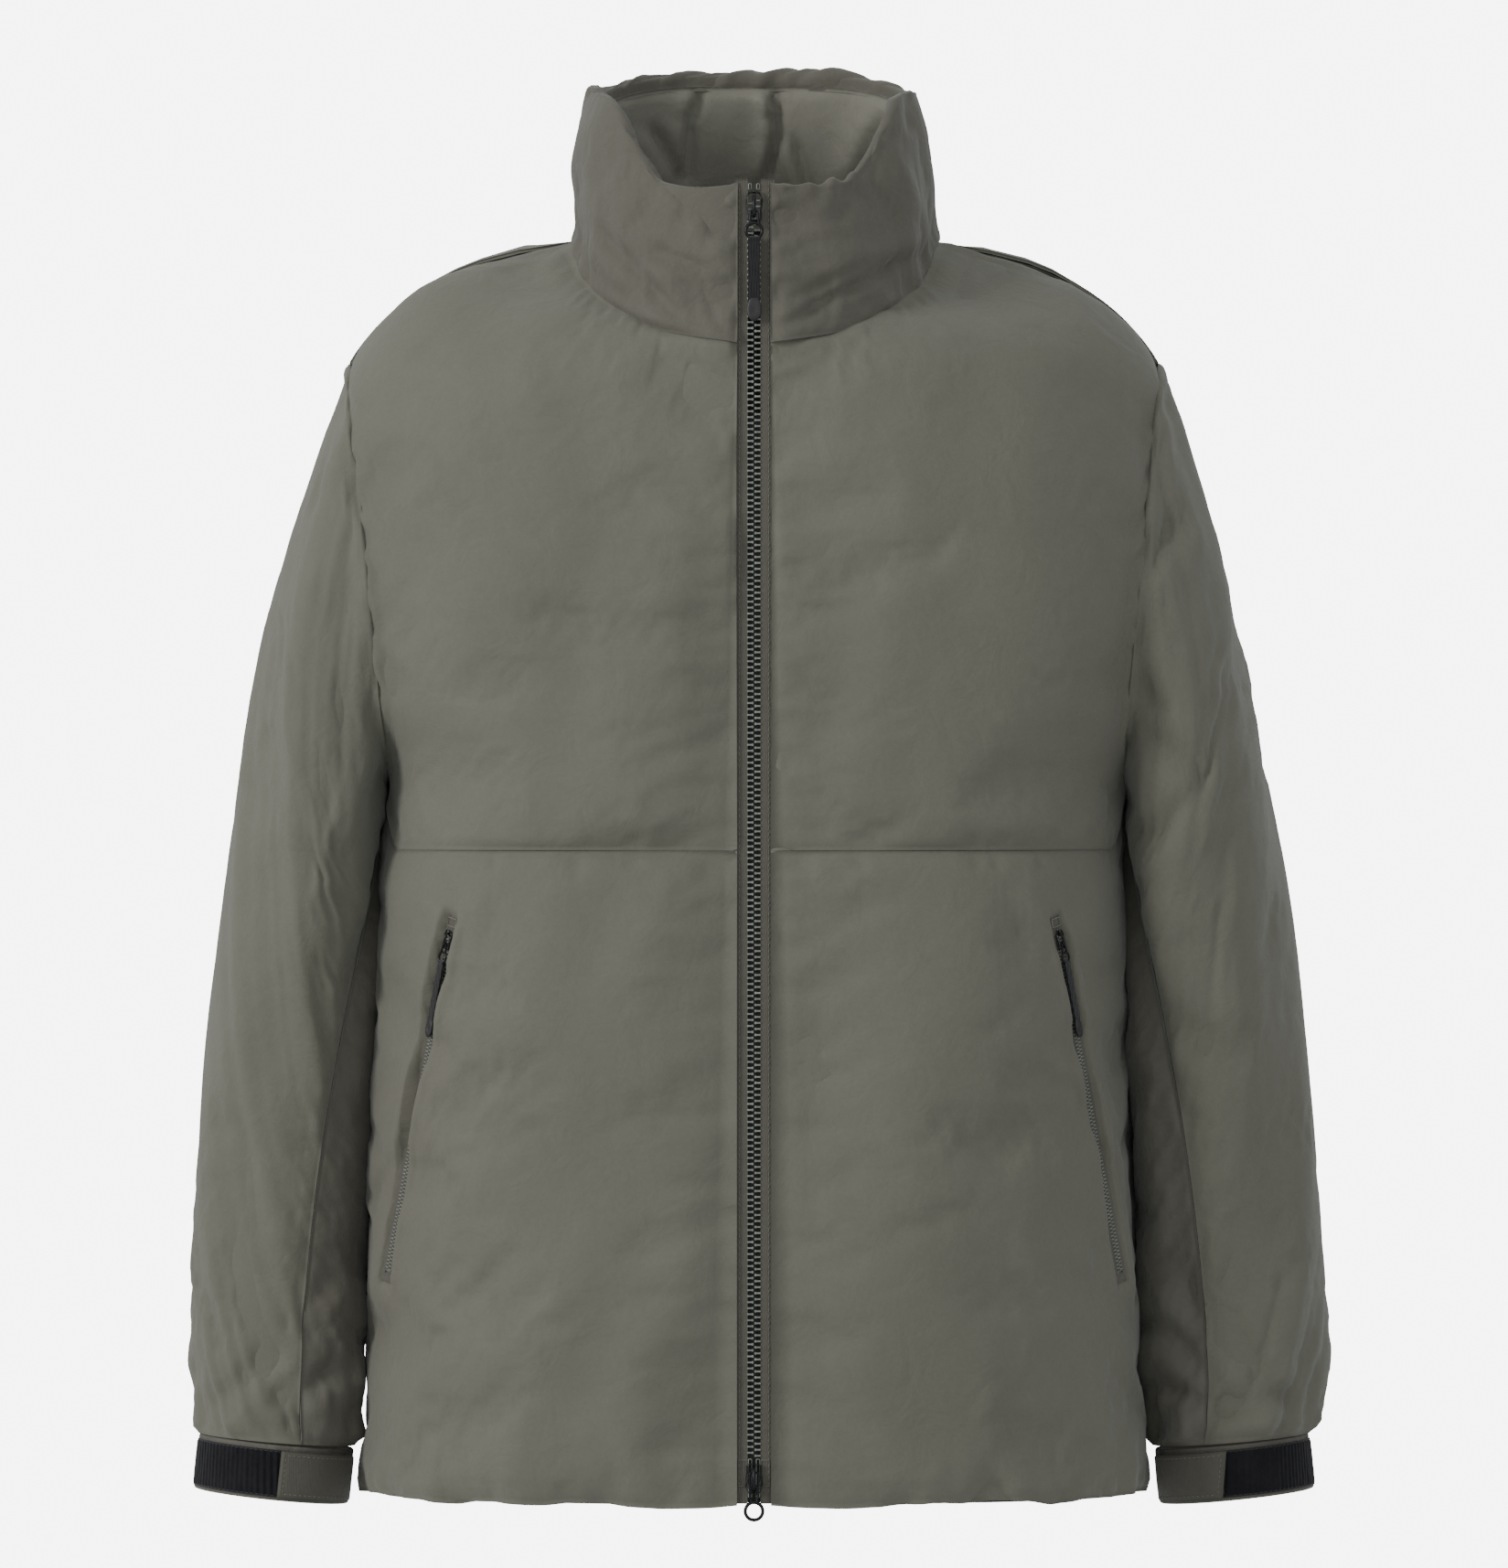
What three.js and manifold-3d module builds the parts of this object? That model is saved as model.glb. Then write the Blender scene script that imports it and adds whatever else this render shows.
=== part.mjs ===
// Padded jacket with a stand collar, a two-way front zip, zipped hand pockets and hook-and-loop cuff tabs.
// Millimetres, +Z up, the jacket faces -Y, +X is the wearer's left. The origin is the middle of the neck
// base, level with the point where the shoulder seam meets the collar.
import * as THREE from "three";
import Module from "manifold-3d";
import { mergeVertices } from "three/addons/utils/BufferGeometryUtils.js";
import { ParametricGeometry } from "three/addons/geometries/ParametricGeometry.js";

const wasm = await Module();
wasm.setup();

// ---- sizes ----------------------------------------------------------------------------------------
const HEM_Z = -681; // bottom edge of the body
const SEAM_Z = -333; // level seam across the chest
const GAP = 0.3; // clearance between pieces that touch
const EDGE = 2; // shell thickness where it is sewn down
const PAD = 7; // extra thickness of the padding in the middle of a panel
const LINING = 1; // lining thickness
const BAG = 1.6; // two layers of pocket bag

const NECK_HALF = 97; // neck seam, half width
const NECK_BACK = 80; // neck seam, depth behind the middle
const COLLAR_TOP_HALF = 90; // collar rim, half width
const COLLAR_TOP_BACK = 72; // collar rim, depth behind the middle
const COLLAR_PAD = 6; // collar shell and padding
const COLLAR_BACK_Z = 94; // rim height at the back

const ZIP_DEPTH = 150; // front zip ahead of the middle at the hem
const ZIP_LEAN = 0.0705; // how far the zip leans back per mm of height
const ZIP_SETBACK = 3.8; // zip plane behind the panels' outer face
const ZIP_EDGE = 9; // front panels end this far from the middle of the zip
const ZIP_HEAD = 25; // top of the zip, just under the collar's rim
const ZIP_TOP = ZIP_HEAD - HEM_Z; // zip length above the hem

const ARM_TOP = [223, -70]; // armhole, top point: half width and height
const ARM_LOW = [200, -300]; // armhole, bottom point
const CUFF_OUT = [303, -650]; // sleeve end, outer point
const CUFF_IN = [216, -657]; // sleeve end, inner point
const CUFF_DEPTH = 40; // sleeve end, half depth
const CUFF_Y = -25; // sleeve end hangs this far forward
const CUFF_BAND = 31; // height of the cuff band

const FRONT_RANGE = { top: ZIP_TOP - 11, bottom: 14 }; // slider middles above the hem when the zip is closed

const POCKET_TOP = [162, -372]; // top of the pocket zip on the front: x and z
const POCKET_LOW = [198, -563]; // bottom of the pocket zip
const POCKET_SLOT = 7; // half width of the slot in the front

const mm = (hex, roughness, metalness = 0) =>
  new THREE.MeshStandardMaterial({ color: new THREE.Color(hex), roughness, metalness });
const SHELL = mm("#6b6b61", 0.78);
const SHELL_DARK = mm("#5d5c53", 0.8);
const COLLAR = mm("#5a5850", 0.8);
const INSIDE = mm("#52534b", 0.7);
const TAPE = mm("#5c5c53", 0.85);
const TEETH = mm("#686d67", 0.45);
const BLACK = mm("#232326", 0.45);
const METAL = mm("#2a2a2c", 0.35, 0.7);
const WEBBING = mm("#2c2b2c", 0.9);
const LOOP = mm("#1c1c20", 0.95);
const TAB = mm("#46453d", 0.6);
const FILM = mm("#77776f", 0.5);
const GARAGE = mm("#8f8f85", 0.7);

// ---- small tools ----------------------------------------------------------------------------------
const lerp = (a, b, t) => a + (b - a) * t;
const clamp = (x, a, b) => Math.min(b, Math.max(a, x));
const smooth = (a, b, x) => {
  const t = clamp((x - a) / (b - a), 0, 1);
  return t * t * (3 - 2 * t);
};
const degrees = (d) => (d * Math.PI) / 180;

/** A smooth curve through a few points that never overshoots them. */
function curve(points) {
  const p = [...points].sort((a, b) => a[0] - b[0]);
  const step = p.slice(1).map((q, i) => (q[1] - p[i][1]) / (q[0] - p[i][0]));
  const slope = p.map((_, i) => {
    if (i === 0) return step[0];
    if (i === p.length - 1) return step[i - 1];
    const [a, b] = [step[i - 1], step[i]];
    return a * b <= 0 ? 0 : (2 * a * b) / (a + b);
  });
  return (x) => {
    const v = clamp(x, p[0][0], p[p.length - 1][0]);
    const i = clamp(p.findIndex((q) => q[0] >= v) - 1, 0, p.length - 2);
    const h = p[i + 1][0] - p[i][0];
    const t = (v - p[i][0]) / h;
    const [t2, t3] = [t * t, t * t * t];
    return (
      p[i][1] * (2 * t3 - 3 * t2 + 1) + slope[i] * h * (t3 - 2 * t2 + t) +
      p[i + 1][1] * (3 * t2 - 2 * t3) + slope[i + 1] * h * (t3 - t2)
    );
  };
}

/** Merges shared corners and turns the faces outward. */
function closed(geometry) {
  geometry.deleteAttribute("normal");
  geometry.deleteAttribute("uv");
  const g = mergeVertices(geometry, 1e-4);
  const p = g.attributes.position;
  const index = [];
  let volume = 0;
  const [a, b, c] = [new THREE.Vector3(), new THREE.Vector3(), new THREE.Vector3()];
  for (let i = 0; i < g.index.count; i += 3) {
    const [x, y, z] = [g.index.getX(i), g.index.getX(i + 1), g.index.getX(i + 2)];
    if (x === y || y === z || z === x) continue;
    index.push(x, y, z);
    a.fromBufferAttribute(p, x);
    b.fromBufferAttribute(p, y);
    c.fromBufferAttribute(p, z);
    volume += a.dot(b.cross(c));
  }
  if (volume < 0) index.reverse();
  g.setIndex(index);
  g.computeVertexNormals();
  return g;
}

const toSolid = (geometry) => {
  const g = closed(geometry);
  return new wasm.Manifold(
    new wasm.Mesh({
      numProp: 3,
      vertProperties: new Float32Array(g.attributes.position.array),
      triVerts: new Uint32Array(g.index.array),
    }),
  );
};
const toGeometry = (solid) => {
  const mesh = solid.getMesh();
  const g = new THREE.BufferGeometry();
  g.setAttribute("position", new THREE.BufferAttribute(mesh.vertProperties, 3));
  g.setIndex(new THREE.BufferAttribute(mesh.triVerts, 1));
  g.computeVertexNormals();
  return g;
};
const join = (...parts) => toGeometry(wasm.Manifold.union(parts.map(toSolid)));
const cut = (body, ...tools) => toGeometry(tools.reduce((s, t) => s.subtract(toSolid(t)), toSolid(body)));

const box = (x0, x1, y0, y1, z0, z1) =>
  new THREE.BoxGeometry(x1 - x0, y1 - y0, z1 - z0).translate((x0 + x1) / 2, (y0 + y1) / 2, (z0 + z1) / 2);
/** A round bar along x. */
const barX = (length, radius, y, z, segments = 10) =>
  new THREE.CylinderGeometry(radius, radius, length, segments).rotateZ(Math.PI / 2).translate(0, y, z);
/** A flat shape drawn in x and z, between two y values. */
const plate = (shape, y0, y1, segments = 4) =>
  new THREE.ExtrudeGeometry(shape, { depth: y1 - y0, bevelEnabled: false, curveSegments: segments })
    .rotateX(Math.PI / 2)
    .translate(0, y1, 0);

/** Turns the diagonals of a band of the grid, so that a piece's inner face is split as its neighbour's outer one. */
function turnDiagonals(g, slices, stacks, chosen) {
  const index = g.index;
  for (let i = 0; i < stacks; i++)
    for (let j = 0; j < slices; j++) {
      if (!chosen(i, j)) continue;
      const k = 6 * (i * slices + j);
      const [a, b, d, c] = [0, 1, 2, 4].map((n) => index.getX(k + n));
      [a, b, c, a, c, d].forEach((corner, n) => index.setX(k + n, corner));
    }
  return g;
}

/** A sheet with an outer and an inner face over the given columns and rows, closed all round its edge. */
function sheet(outer, inner, columns, rows) {
  const n = columns.length;
  const middle = (u, v) => outer(u, v).clone().lerp(inner(u, v), 0.5);
  const slices = 2 * n;
  const stacks = rows.length + 1;
  const at = (i, j) => {
    const k = i % (2 * n);
    const u = k < n ? columns[k] : columns[2 * n - 1 - k];
    const v = rows[clamp(j - 1, 0, rows.length - 1)];
    if (j === 0 || j === stacks) return middle(u, v);
    return (k < n ? outer : inner)(u, v);
  };
  const g = new ParametricGeometry(
    (u, v, target) => target.copy(at(Math.round(u * slices), Math.round(v * stacks))),
    slices,
    stacks,
  );
  return closed(turnDiagonals(g, slices, stacks, (i, j) => j >= n));
}

/** A tube of cloth with an outer and an inner face, open at both ends. */
function tube(outer, inner, around, rows) {
  const n = rows.length;
  const at = (i, j) => {
    const k = j % (2 * n);
    return k < n ? outer((i % around) / around, rows[k]) : inner((i % around) / around, rows[2 * n - 1 - k]);
  };
  const g = new ParametricGeometry(
    (u, v, target) => target.copy(at(Math.round(u * around), Math.round(v * 2 * n))),
    around,
    2 * n,
  );
  return closed(turnDiagonals(g, around, 2 * n, (i) => i >= n));
}

/** The outward normal of a surface, given a point that lies behind it. */
function normalOf(surface, u, v, centre, limits = [0, 1, 0, 1]) {
  const e = 1e-3;
  const du = surface(Math.min(u + e, limits[1]), v).sub(surface(Math.max(u - e, limits[0]), v));
  const dv = surface(u, Math.min(v + e, limits[3])).sub(surface(u, Math.max(v - e, limits[2])));
  const n = du.cross(dv).normalize();
  return n.dot(surface(u, v).sub(centre)) < 0 ? n.negate() : n;
}

const root = new THREE.Group();
root.name = "jacket";
function add(name, geometry, material, parent = root) {
  const mesh = new THREE.Mesh(geometry, material);
  mesh.name = name;
  parent.add(mesh);
  return mesh;
}
const SIDES = [["left", 1], ["right", -1]];

// ---- the body's shape -----------------------------------------------------------------------------
const zipDepth = (z) => ZIP_DEPTH - ZIP_LEAN * (z - HEM_Z);
const halfWidth = curve([
  [0, NECK_HALF], [-8.5, 142], [-18.5, 168], [-43.5, 203], ARM_TOP.slice().reverse(), [-120, 241],
  [-185, 247], [-250, 229], ARM_LOW.slice().reverse(), [-370, 202], [-493, 206], [-600, 209], [HEM_Z, 211],
]);
const NECK_FRONT_Z = -60; // neck seam at the zip
const NECK_FRONT = zipDepth(NECK_FRONT_Z) + ZIP_SETBACK;
// the shoulder slopes down from the neck point to the zip in steps that follow the zip's own depth
const shoulderFront = curve([
  [0, 12], [-12, 0.309 * NECK_FRONT], [-26, 0.5 * NECK_FRONT], [-41, 0.755 * NECK_FRONT],
  [-50, 0.873 * NECK_FRONT], [NECK_FRONT_Z, NECK_FRONT], [-90, zipDepth(-90) + ZIP_SETBACK],
]);
const frontDepth = (z) => (z > -90 ? shoulderFront(z) : zipDepth(z) + ZIP_SETBACK);
const backDepth = curve([
  [0, 12], [-5, 40], [-15, NECK_BACK], [-40, 97], [-70, 107], [-185, 120], [-300, 122], [HEM_Z, 112],
]);
const squareness = curve([[0, 1], [-60, 1], [-200, 0.8], [-420, 0.66], [HEM_Z, 0.66]]);
const depth = (z, front) => (front ? frontDepth(z) : backDepth(z));
/** The armhole's plane: its half width at a height. */
const armX = (z) => lerp(ARM_TOP[0], ARM_LOW[0], (z - ARM_TOP[1]) / (ARM_LOW[1] - ARM_TOP[1]));
const inArmhole = (z) => z < ARM_TOP[1] && z > ARM_LOW[1];
const sideX = (z) => (inArmhole(z) ? armX(z) : halfWidth(z));
/** Depth of the body at a half width and a height. */
const depthAt = (x, z, front) => {
  const c = Math.pow(clamp(x / halfWidth(z), 0, 1), 1 / squareness(z));
  return depth(z, front) * Math.pow(Math.max(0, 1 - c * c), squareness(z) / 2);
};
/** Angle round the body's ring at which the half width is x. */
const ringAngle = (x, z) => Math.acos(Math.pow(clamp(x / halfWidth(z), 0, 1), 1 / squareness(z)));

/** Height of the shoulder over a point of the plan. */
function shoulderZ(x, y, front) {
  let [low, high] = [front ? NECK_FRONT_Z - 3 : -20, 0];
  for (let i = 0; i < 40; i++) {
    const z = (low + high) / 2;
    const inside = (x / halfWidth(z)) ** 2 + (y / depth(z, front)) ** 2 < 1;
    if (inside) low = z;
    else high = z;
  }
  return (low + high) / 2;
}
/** The neck seam; angle 0 is at the zip, 90 degrees at the shoulder, 180 at the back. */
function neck(angle) {
  const front = Math.cos(angle) > 0;
  const x = NECK_HALF * Math.sin(angle);
  const y = Math.abs(Math.cos(angle)) * (front ? NECK_FRONT : NECK_BACK);
  return { x, y: front ? -y : y, z: shoulderZ(Math.abs(x), y, front) };
}
const NECK_START = Math.asin(ZIP_EDGE / NECK_HALF);

/** The chest seam runs level and rises to the foot of the armhole at its outer end. */
const chestSeam = (u) => lerp(SEAM_Z, ARM_LOW[1] - 1.5, smooth(0.8, 1, u));

/** Left front's outer face: u from the zip to the side, w from the neck (0) by the seam (1) to the hem (2). */
function frontFace(u, w) {
  const start = neck(lerp(NECK_START, Math.PI / 2, u));
  const seam = chestSeam(u);
  const z = w < 1 ? lerp(start.z, seam, w) : lerp(seam, HEM_Z, w - 1);
  const turn = (x, zz, y) => Math.atan2(Math.abs(y) / frontDepth(zz), x / halfWidth(zz));
  const from = turn(ZIP_EDGE, start.z, NECK_FRONT);
  const atNeck = (from - turn(start.x, start.z, start.y)) / from;
  const share = lerp(clamp(atNeck, 0, 1), u, smooth(0, 0.4, w));
  const edge = inArmhole(z) ? armX(z) - GAP / 2 : halfWidth(z);
  const angle = lerp(ringAngle(ZIP_EDGE, z), ringAngle(edge, z), share);
  const e = squareness(z);
  const puff = 5 * Math.sin(Math.PI * Math.pow(u, 0.6)) * Math.sqrt(Math.abs(Math.sin(Math.PI * w)));
  const x = halfWidth(z) * Math.pow(Math.cos(angle), e);
  const y = -frontDepth(z) * Math.pow(Math.sin(angle), e) - puff * smooth(0, 0.3, w);
  return new THREE.Vector3(x, y, z);
}
/** Back's outer face: u from the left side to the right, v from the neck to the hem. */
function backFace(u, v) {
  const start = neck(lerp(Math.PI / 2, 1.5 * Math.PI, u));
  const z = lerp(start.z, HEM_Z, v);
  const atNeck = Math.atan2(start.y / backDepth(start.z), start.x / halfWidth(start.z)) / Math.PI;
  const share = clamp(lerp(atNeck, u, smooth(0, 0.25, v)), 0, 1);
  const edge = inArmhole(z) ? armX(z) - GAP / 2 : halfWidth(z);
  const side = ringAngle(edge, z);
  const angle = lerp(side, Math.PI - side, share);
  const c = Math.cos(angle);
  const e = squareness(z);
  return new THREE.Vector3(
    halfWidth(z) * Math.sign(c) * Math.pow(Math.abs(c), e), backDepth(z) * Math.pow(Math.max(0, Math.sin(angle)), e), z);
}
const bump = (t) => Math.pow(Math.max(0, Math.sin(Math.PI * t)), 0.6);
const frontThick = (u, w) => EDGE + PAD * Math.sin(Math.PI * u) * bump(w % 1);
const backThick = (u, v) => EDGE + PAD * bump(u) * bump(v);

const BODY_CENTRE = new THREE.Vector3(0, 0, -350);
/** A point of the left front at a depth under its outer face, kept on the panel's own side of its seams. */
function frontAt(u, w, under, zipEdge = ZIP_EDGE) {
  const p = frontFace(u, w);
  if (under > 0) p.addScaledVector(normalOf(frontFace, u, w, BODY_CENTRE, [0, 1, 0, 2]), -under);
  if (u === 0) p.x = zipEdge;
  if (inArmhole(p.z)) p.x = u === 1 ? armX(p.z) - GAP / 2 : Math.min(p.x, armX(p.z) - GAP / 2);
  else if (u === 1 || p.y > -GAP / 2) p.y = -GAP / 2;
  return p;
}
function backAt(u, v, under) {
  const p = backFace(u, v);
  if (under > 0) p.addScaledVector(normalOf(backFace, u, v, BODY_CENTRE), -under);
  const side = u < 0.5 ? 1 : -1;
  const atSide = u === 0 || u === 1;
  if (inArmhole(p.z)) {
    const edge = armX(p.z) - GAP / 2;
    p.x = side * (atSide ? edge : Math.min(side * p.x, edge));
  } else if (atSide || p.y < GAP / 2) p.y = GAP / 2;
  return p;
}
const mirrored = (f, side) => (u, v) => {
  const p = f(u, v);
  p.x *= side;
  return p;
};

// ---- body panels and their lining -----------------------------------------------------------------
const COLUMNS = [0, 0.125, 0.25, 0.375, 0.5, 0.625, 0.75, 0.875, 1];
const CHEST_ROWS = [0, 0.04, 0.12, 0.2326, 0.37, 0.5, 0.63, 0.77, 0.88, 1];
const LOWER_ROWS = [1, 1.15, 1.3, 1.5, 1.7, 1.85, 2];
const BACK_COLUMNS = [0, 0.07, 0.14, 0.22, 0.3, 0.4, 0.5, 0.6, 0.7, 0.78, 0.86, 0.93, 1];
const BACK_ROWS = [0, 0.05, 0.1028, 0.19, 0.27, 0.355, 0.4405, 0.55, 0.66, 0.78, 0.9, 1];
const LINING_DEPTH = BAG + 2 * GAP; // lining lies this far behind the padding, with room for the bag

/** Moves a point off the chest seam by half a gap. */
const offSeam = (p, w, at, way) => {
  if (w === at) p.z += (way * GAP) / 2;
  return p;
};
function bodyPanels() {
  for (const [name, side] of SIDES) {
    const chest = (under) => mirrored((u, w) => offSeam(frontAt(u, w, under(u, w)), w, 1, 1), side);
    const lower = (under) => mirrored((u, w) => offSeam(frontAt(u, w, under(u, w)), w, 1, -1), side);
    const thickness = (u, w) => (w === 1 || w === 2 ? EDGE : frontThick(u, w));
    add(`chest_panel_${name}`, sheet(chest(() => 0), chest(thickness), COLUMNS, CHEST_ROWS), SHELL);
    const slot = box(-POCKET_SLOT, POCKET_SLOT, -30, 40, -POCKET_LENGTH / 2, POCKET_LENGTH / 2);
    const front = sheet(lower(() => 0), lower(thickness), COLUMNS, LOWER_ROWS);
    add(`lower_front_${name}`, cut(front, slot.applyMatrix4(pocketFrame(side))), SHELL);
    const lining = (extra) =>
      mirrored((u, w) => frontAt(u, w, thickness(u, w) + LINING_DEPTH + extra, ZIP_EDGE + 4), side);
    const rows = [...CHEST_ROWS.slice(1), ...LOWER_ROWS.slice(1)];
    add(`lining_front_${name}`, sheet(lining(0), lining(LINING), COLUMNS, rows), INSIDE);
    const bag = (extra) => mirrored((u, w) => frontAt(u, w, thickness(u, w) + GAP + extra), side);
    add(`pocket_bag_${name}`, sheet(bag(0), bag(BAG), COLUMNS.slice(3, 8), LOWER_ROWS.slice(1, 6)), INSIDE);
  }
  const back = (under) => (u, v) => backAt(u, v, under(u, v));
  add("back_panel", sheet(back(() => 0), back(backThick), BACK_COLUMNS, BACK_ROWS), SHELL_DARK);
  const lining = (extra) => (u, v) => backAt(u, v, backThick(u, v) + GAP + extra);
  add("lining_back", sheet(lining(0), lining(LINING), BACK_COLUMNS, BACK_ROWS), INSIDE);
}

/** Elastic sewn round the inside of the hem, from one side of the zip to the other. */
function hemElastic() {
  const height = 10;
  const inside = EDGE + LINING_DEPTH + LINING + GAP;
  const at = (under) => (u, v) => {
    const a = lerp(-1, 1, u); // -1 and 1 are at the zip, 0 is the middle of the back
    const front = Math.abs(a) > 0.5;
    const p = front ? frontFace(2 - 2 * Math.abs(a), 2) : backFace(0.5 + a, 1);
    if (front) p.x *= -Math.sign(a);
    p.y = front ? Math.min(p.y, 0) : Math.max(p.y, 0);
    const n = new THREE.Vector3(p.x / 211 ** 2, p.y / (front ? 140 : 112) ** 2, 0).normalize();
    p.addScaledVector(n, -under);
    p.z = HEM_Z + 3 + v * height;
    return p;
  };
  const columns = Array.from({ length: 29 }, (_, i) => 0.03 + (0.94 * i) / 28);
  add("hem_elastic", sheet(at(inside + 2.4), at(inside + 3.6), columns, [0, 1]), BLACK);
}

// ---- collar ---------------------------------------------------------------------------------------
const rimFront = curve([
  [0, ZIP_HEAD + 2], [30, ZIP_HEAD - 0.5], [50, ZIP_HEAD + 3], [62, ZIP_HEAD + 17], [81, 76], [COLLAR_TOP_HALF, 82],
]);
const COLLAR_MIDDLE_Y = -12;
/** Angle round the neck for u from the left zip edge (0) over the shoulders (1 and 2) to the right edge (3). */
function collarAngle(u) {
  if (u < 1) return lerp(NECK_START, Math.PI / 2, u);
  if (u < 2) return lerp(Math.PI / 2, 1.5 * Math.PI, u - 1);
  return lerp(1.5 * Math.PI, 2 * Math.PI - NECK_START, u - 2);
}
function collarFace(u, v) {
  const angle = collarAngle(u);
  const base = neck(angle);
  const [s, c] = [Math.sin(angle), Math.cos(angle)];
  const x = COLLAR_TOP_HALF * s;
  const top = c > 0 ? rimFront(Math.abs(x)) : COLLAR_BACK_Z - (COLLAR_BACK_Z - 82) * s * s;
  const z = lerp(base.z + 2 * GAP, top, v);
  const y = c > 0 ? -(zipDepth(z) + ZIP_SETBACK) * c : lerp(base.y, -COLLAR_TOP_BACK * c, v);
  return new THREE.Vector3(lerp(base.x, x, v), y, z);
}
function collarAt(u, v, under) {
  const p = collarFace(u, v);
  if (under > 0) {
    const n = normalOf(collarFace, u, v, new THREE.Vector3(0, COLLAR_MIDDLE_Y, p.z), [0, 3, 0, 1]);
    n.z = 0;
    p.addScaledVector(n.normalize(), -under);
    p.z += 0.35 * under * (1 - v);
  }
  if (u === 0) p.x = ZIP_EDGE;
  if (u === 3) p.x = -ZIP_EDGE;
  return p;
}
const collarThick = (u) => lerp(EDGE, COLLAR_PAD, smooth(0, 0.4, u) * smooth(3, 2.6, u));
function collar() {
  const columns = [...COLUMNS, ...BACK_COLUMNS.slice(1).map((u) => 1 + u), ...COLUMNS.slice(1).map((u) => 2 + u)];
  const rows = [0, 0.25, 0.5, 0.75, 1];
  const at = (under) => (u, v) => collarAt(u, v, under(u));
  add("collar_shell", sheet(at(() => 0), at(collarThick), columns, rows), COLLAR);
  const inner = columns.slice(1, -1);
  add("collar_lining",
    sheet(at((u) => collarThick(u) + GAP), at((u) => collarThick(u) + GAP + 1.6), inner, rows), INSIDE);
}

/** Webbing loop inside the back of the neck, to hang the jacket by. */
function hangerLoop() {
  const [half, width, thick, foot] = [30, 8, 1.2, 8];
  const y = Math.sqrt(1 - (half / NECK_HALF) ** 2) * NECK_BACK - COLLAR_PAD - 1.6 - 2 * GAP - thick - 3;
  const shape = new THREE.Shape();
  shape.moveTo(-half, foot);
  shape.quadraticCurveTo(0, -foot, half, foot);
  shape.lineTo(half, foot + width);
  shape.quadraticCurveTo(0, width - foot, -half, foot + width);
  add("hanger_loop", closed(plate(shape, y, y + thick, 8)), WEBBING);
}

// ---- sleeves --------------------------------------------------------------------------------------
const sleeveOuter = curve([
  ARM_TOP.slice().reverse(), [-93.5, 233], [-118.5, 242], [-168.5, 256], [-218.5, 266], [-318.5, 282],
  [-418.5, 295], [-518.5, 303], [-600, 307], CUFF_OUT.slice().reverse(),
]);
const sleeveInner = curve([ARM_LOW.slice().reverse(), [-340, 203], [-380, 207], [-493, 212], CUFF_IN.slice().reverse()]);
const sleeveDepth = curve([[0, 80], [0.25, 74], [0.5, 63], [0.75, 51], [1, CUFF_DEPTH]]);
const sleeveY = (s) => lerp(-5, CUFF_Y, Math.pow(s, 1.3));
/** Middle and half span of the sleeve's section at s, from the armhole (0) to the cuff (1). */
function sleeveSection(s) {
  const zo = lerp(ARM_TOP[1], CUFF_OUT[1], s);
  const zi = lerp(ARM_LOW[1], CUFF_IN[1], s);
  const [o, i] = [new THREE.Vector3(sleeveOuter(zo), 0, zo), new THREE.Vector3(sleeveInner(zi), 0, zi)];
  return { middle: o.clone().add(i).multiplyScalar(0.5), half: o.sub(i).multiplyScalar(0.5) };
}
/** Left sleeve's outer face: turn 0 is the top of the sleeve, a quarter turn its front. */
function sleeveFace(turn, s) {
  const a = 2 * Math.PI * turn;
  const { middle, half } = sleeveSection(s);
  const p = middle.addScaledVector(half, Math.cos(a));
  p.y = sleeveY(s) - sleeveDepth(s) * Math.sin(a);
  const z = lerp((ARM_TOP[1] + ARM_LOW[1]) / 2, ARM_TOP[1], Math.cos(a));
  const front = Math.sin(a) > 0;
  const y = depthAt(armX(z), z, front) * (front ? -1 : 1);
  const hole = new THREE.Vector3(armX(z) + GAP / 2, y, z);
  return hole.lerp(p, smooth(0, 0.2, s));
}
function sleeveAt(turn, s, under) {
  const p = sleeveFace(turn, s);
  if (under > 0) {
    const { middle } = sleeveSection(s);
    middle.y = sleeveY(s);
    p.addScaledVector(normalOf(sleeveFace, turn, s, middle, [-2, 2, 0, 1]), -under);
  }
  const edge = armX(p.z) + 1.5 * GAP;
  if (s === 0 || p.x < edge) p.x = edge;
  return p;
}
const SLEEVE_ROWS = [0, 0.04, 0.08, 0.13, 0.2, 0.3, 0.4, 0.5, 0.6, 0.7, 0.8, 0.9, 1];
const frontSeam = (s) => 0.5 - 0.194 * (1 - (1 - s) ** 2);
const backSeam = (s) => 0.638 + 0.056 * s;
const sleeveThick = (t, s) => EDGE + (PAD - 1) * bump(t) * bump(s);

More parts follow.
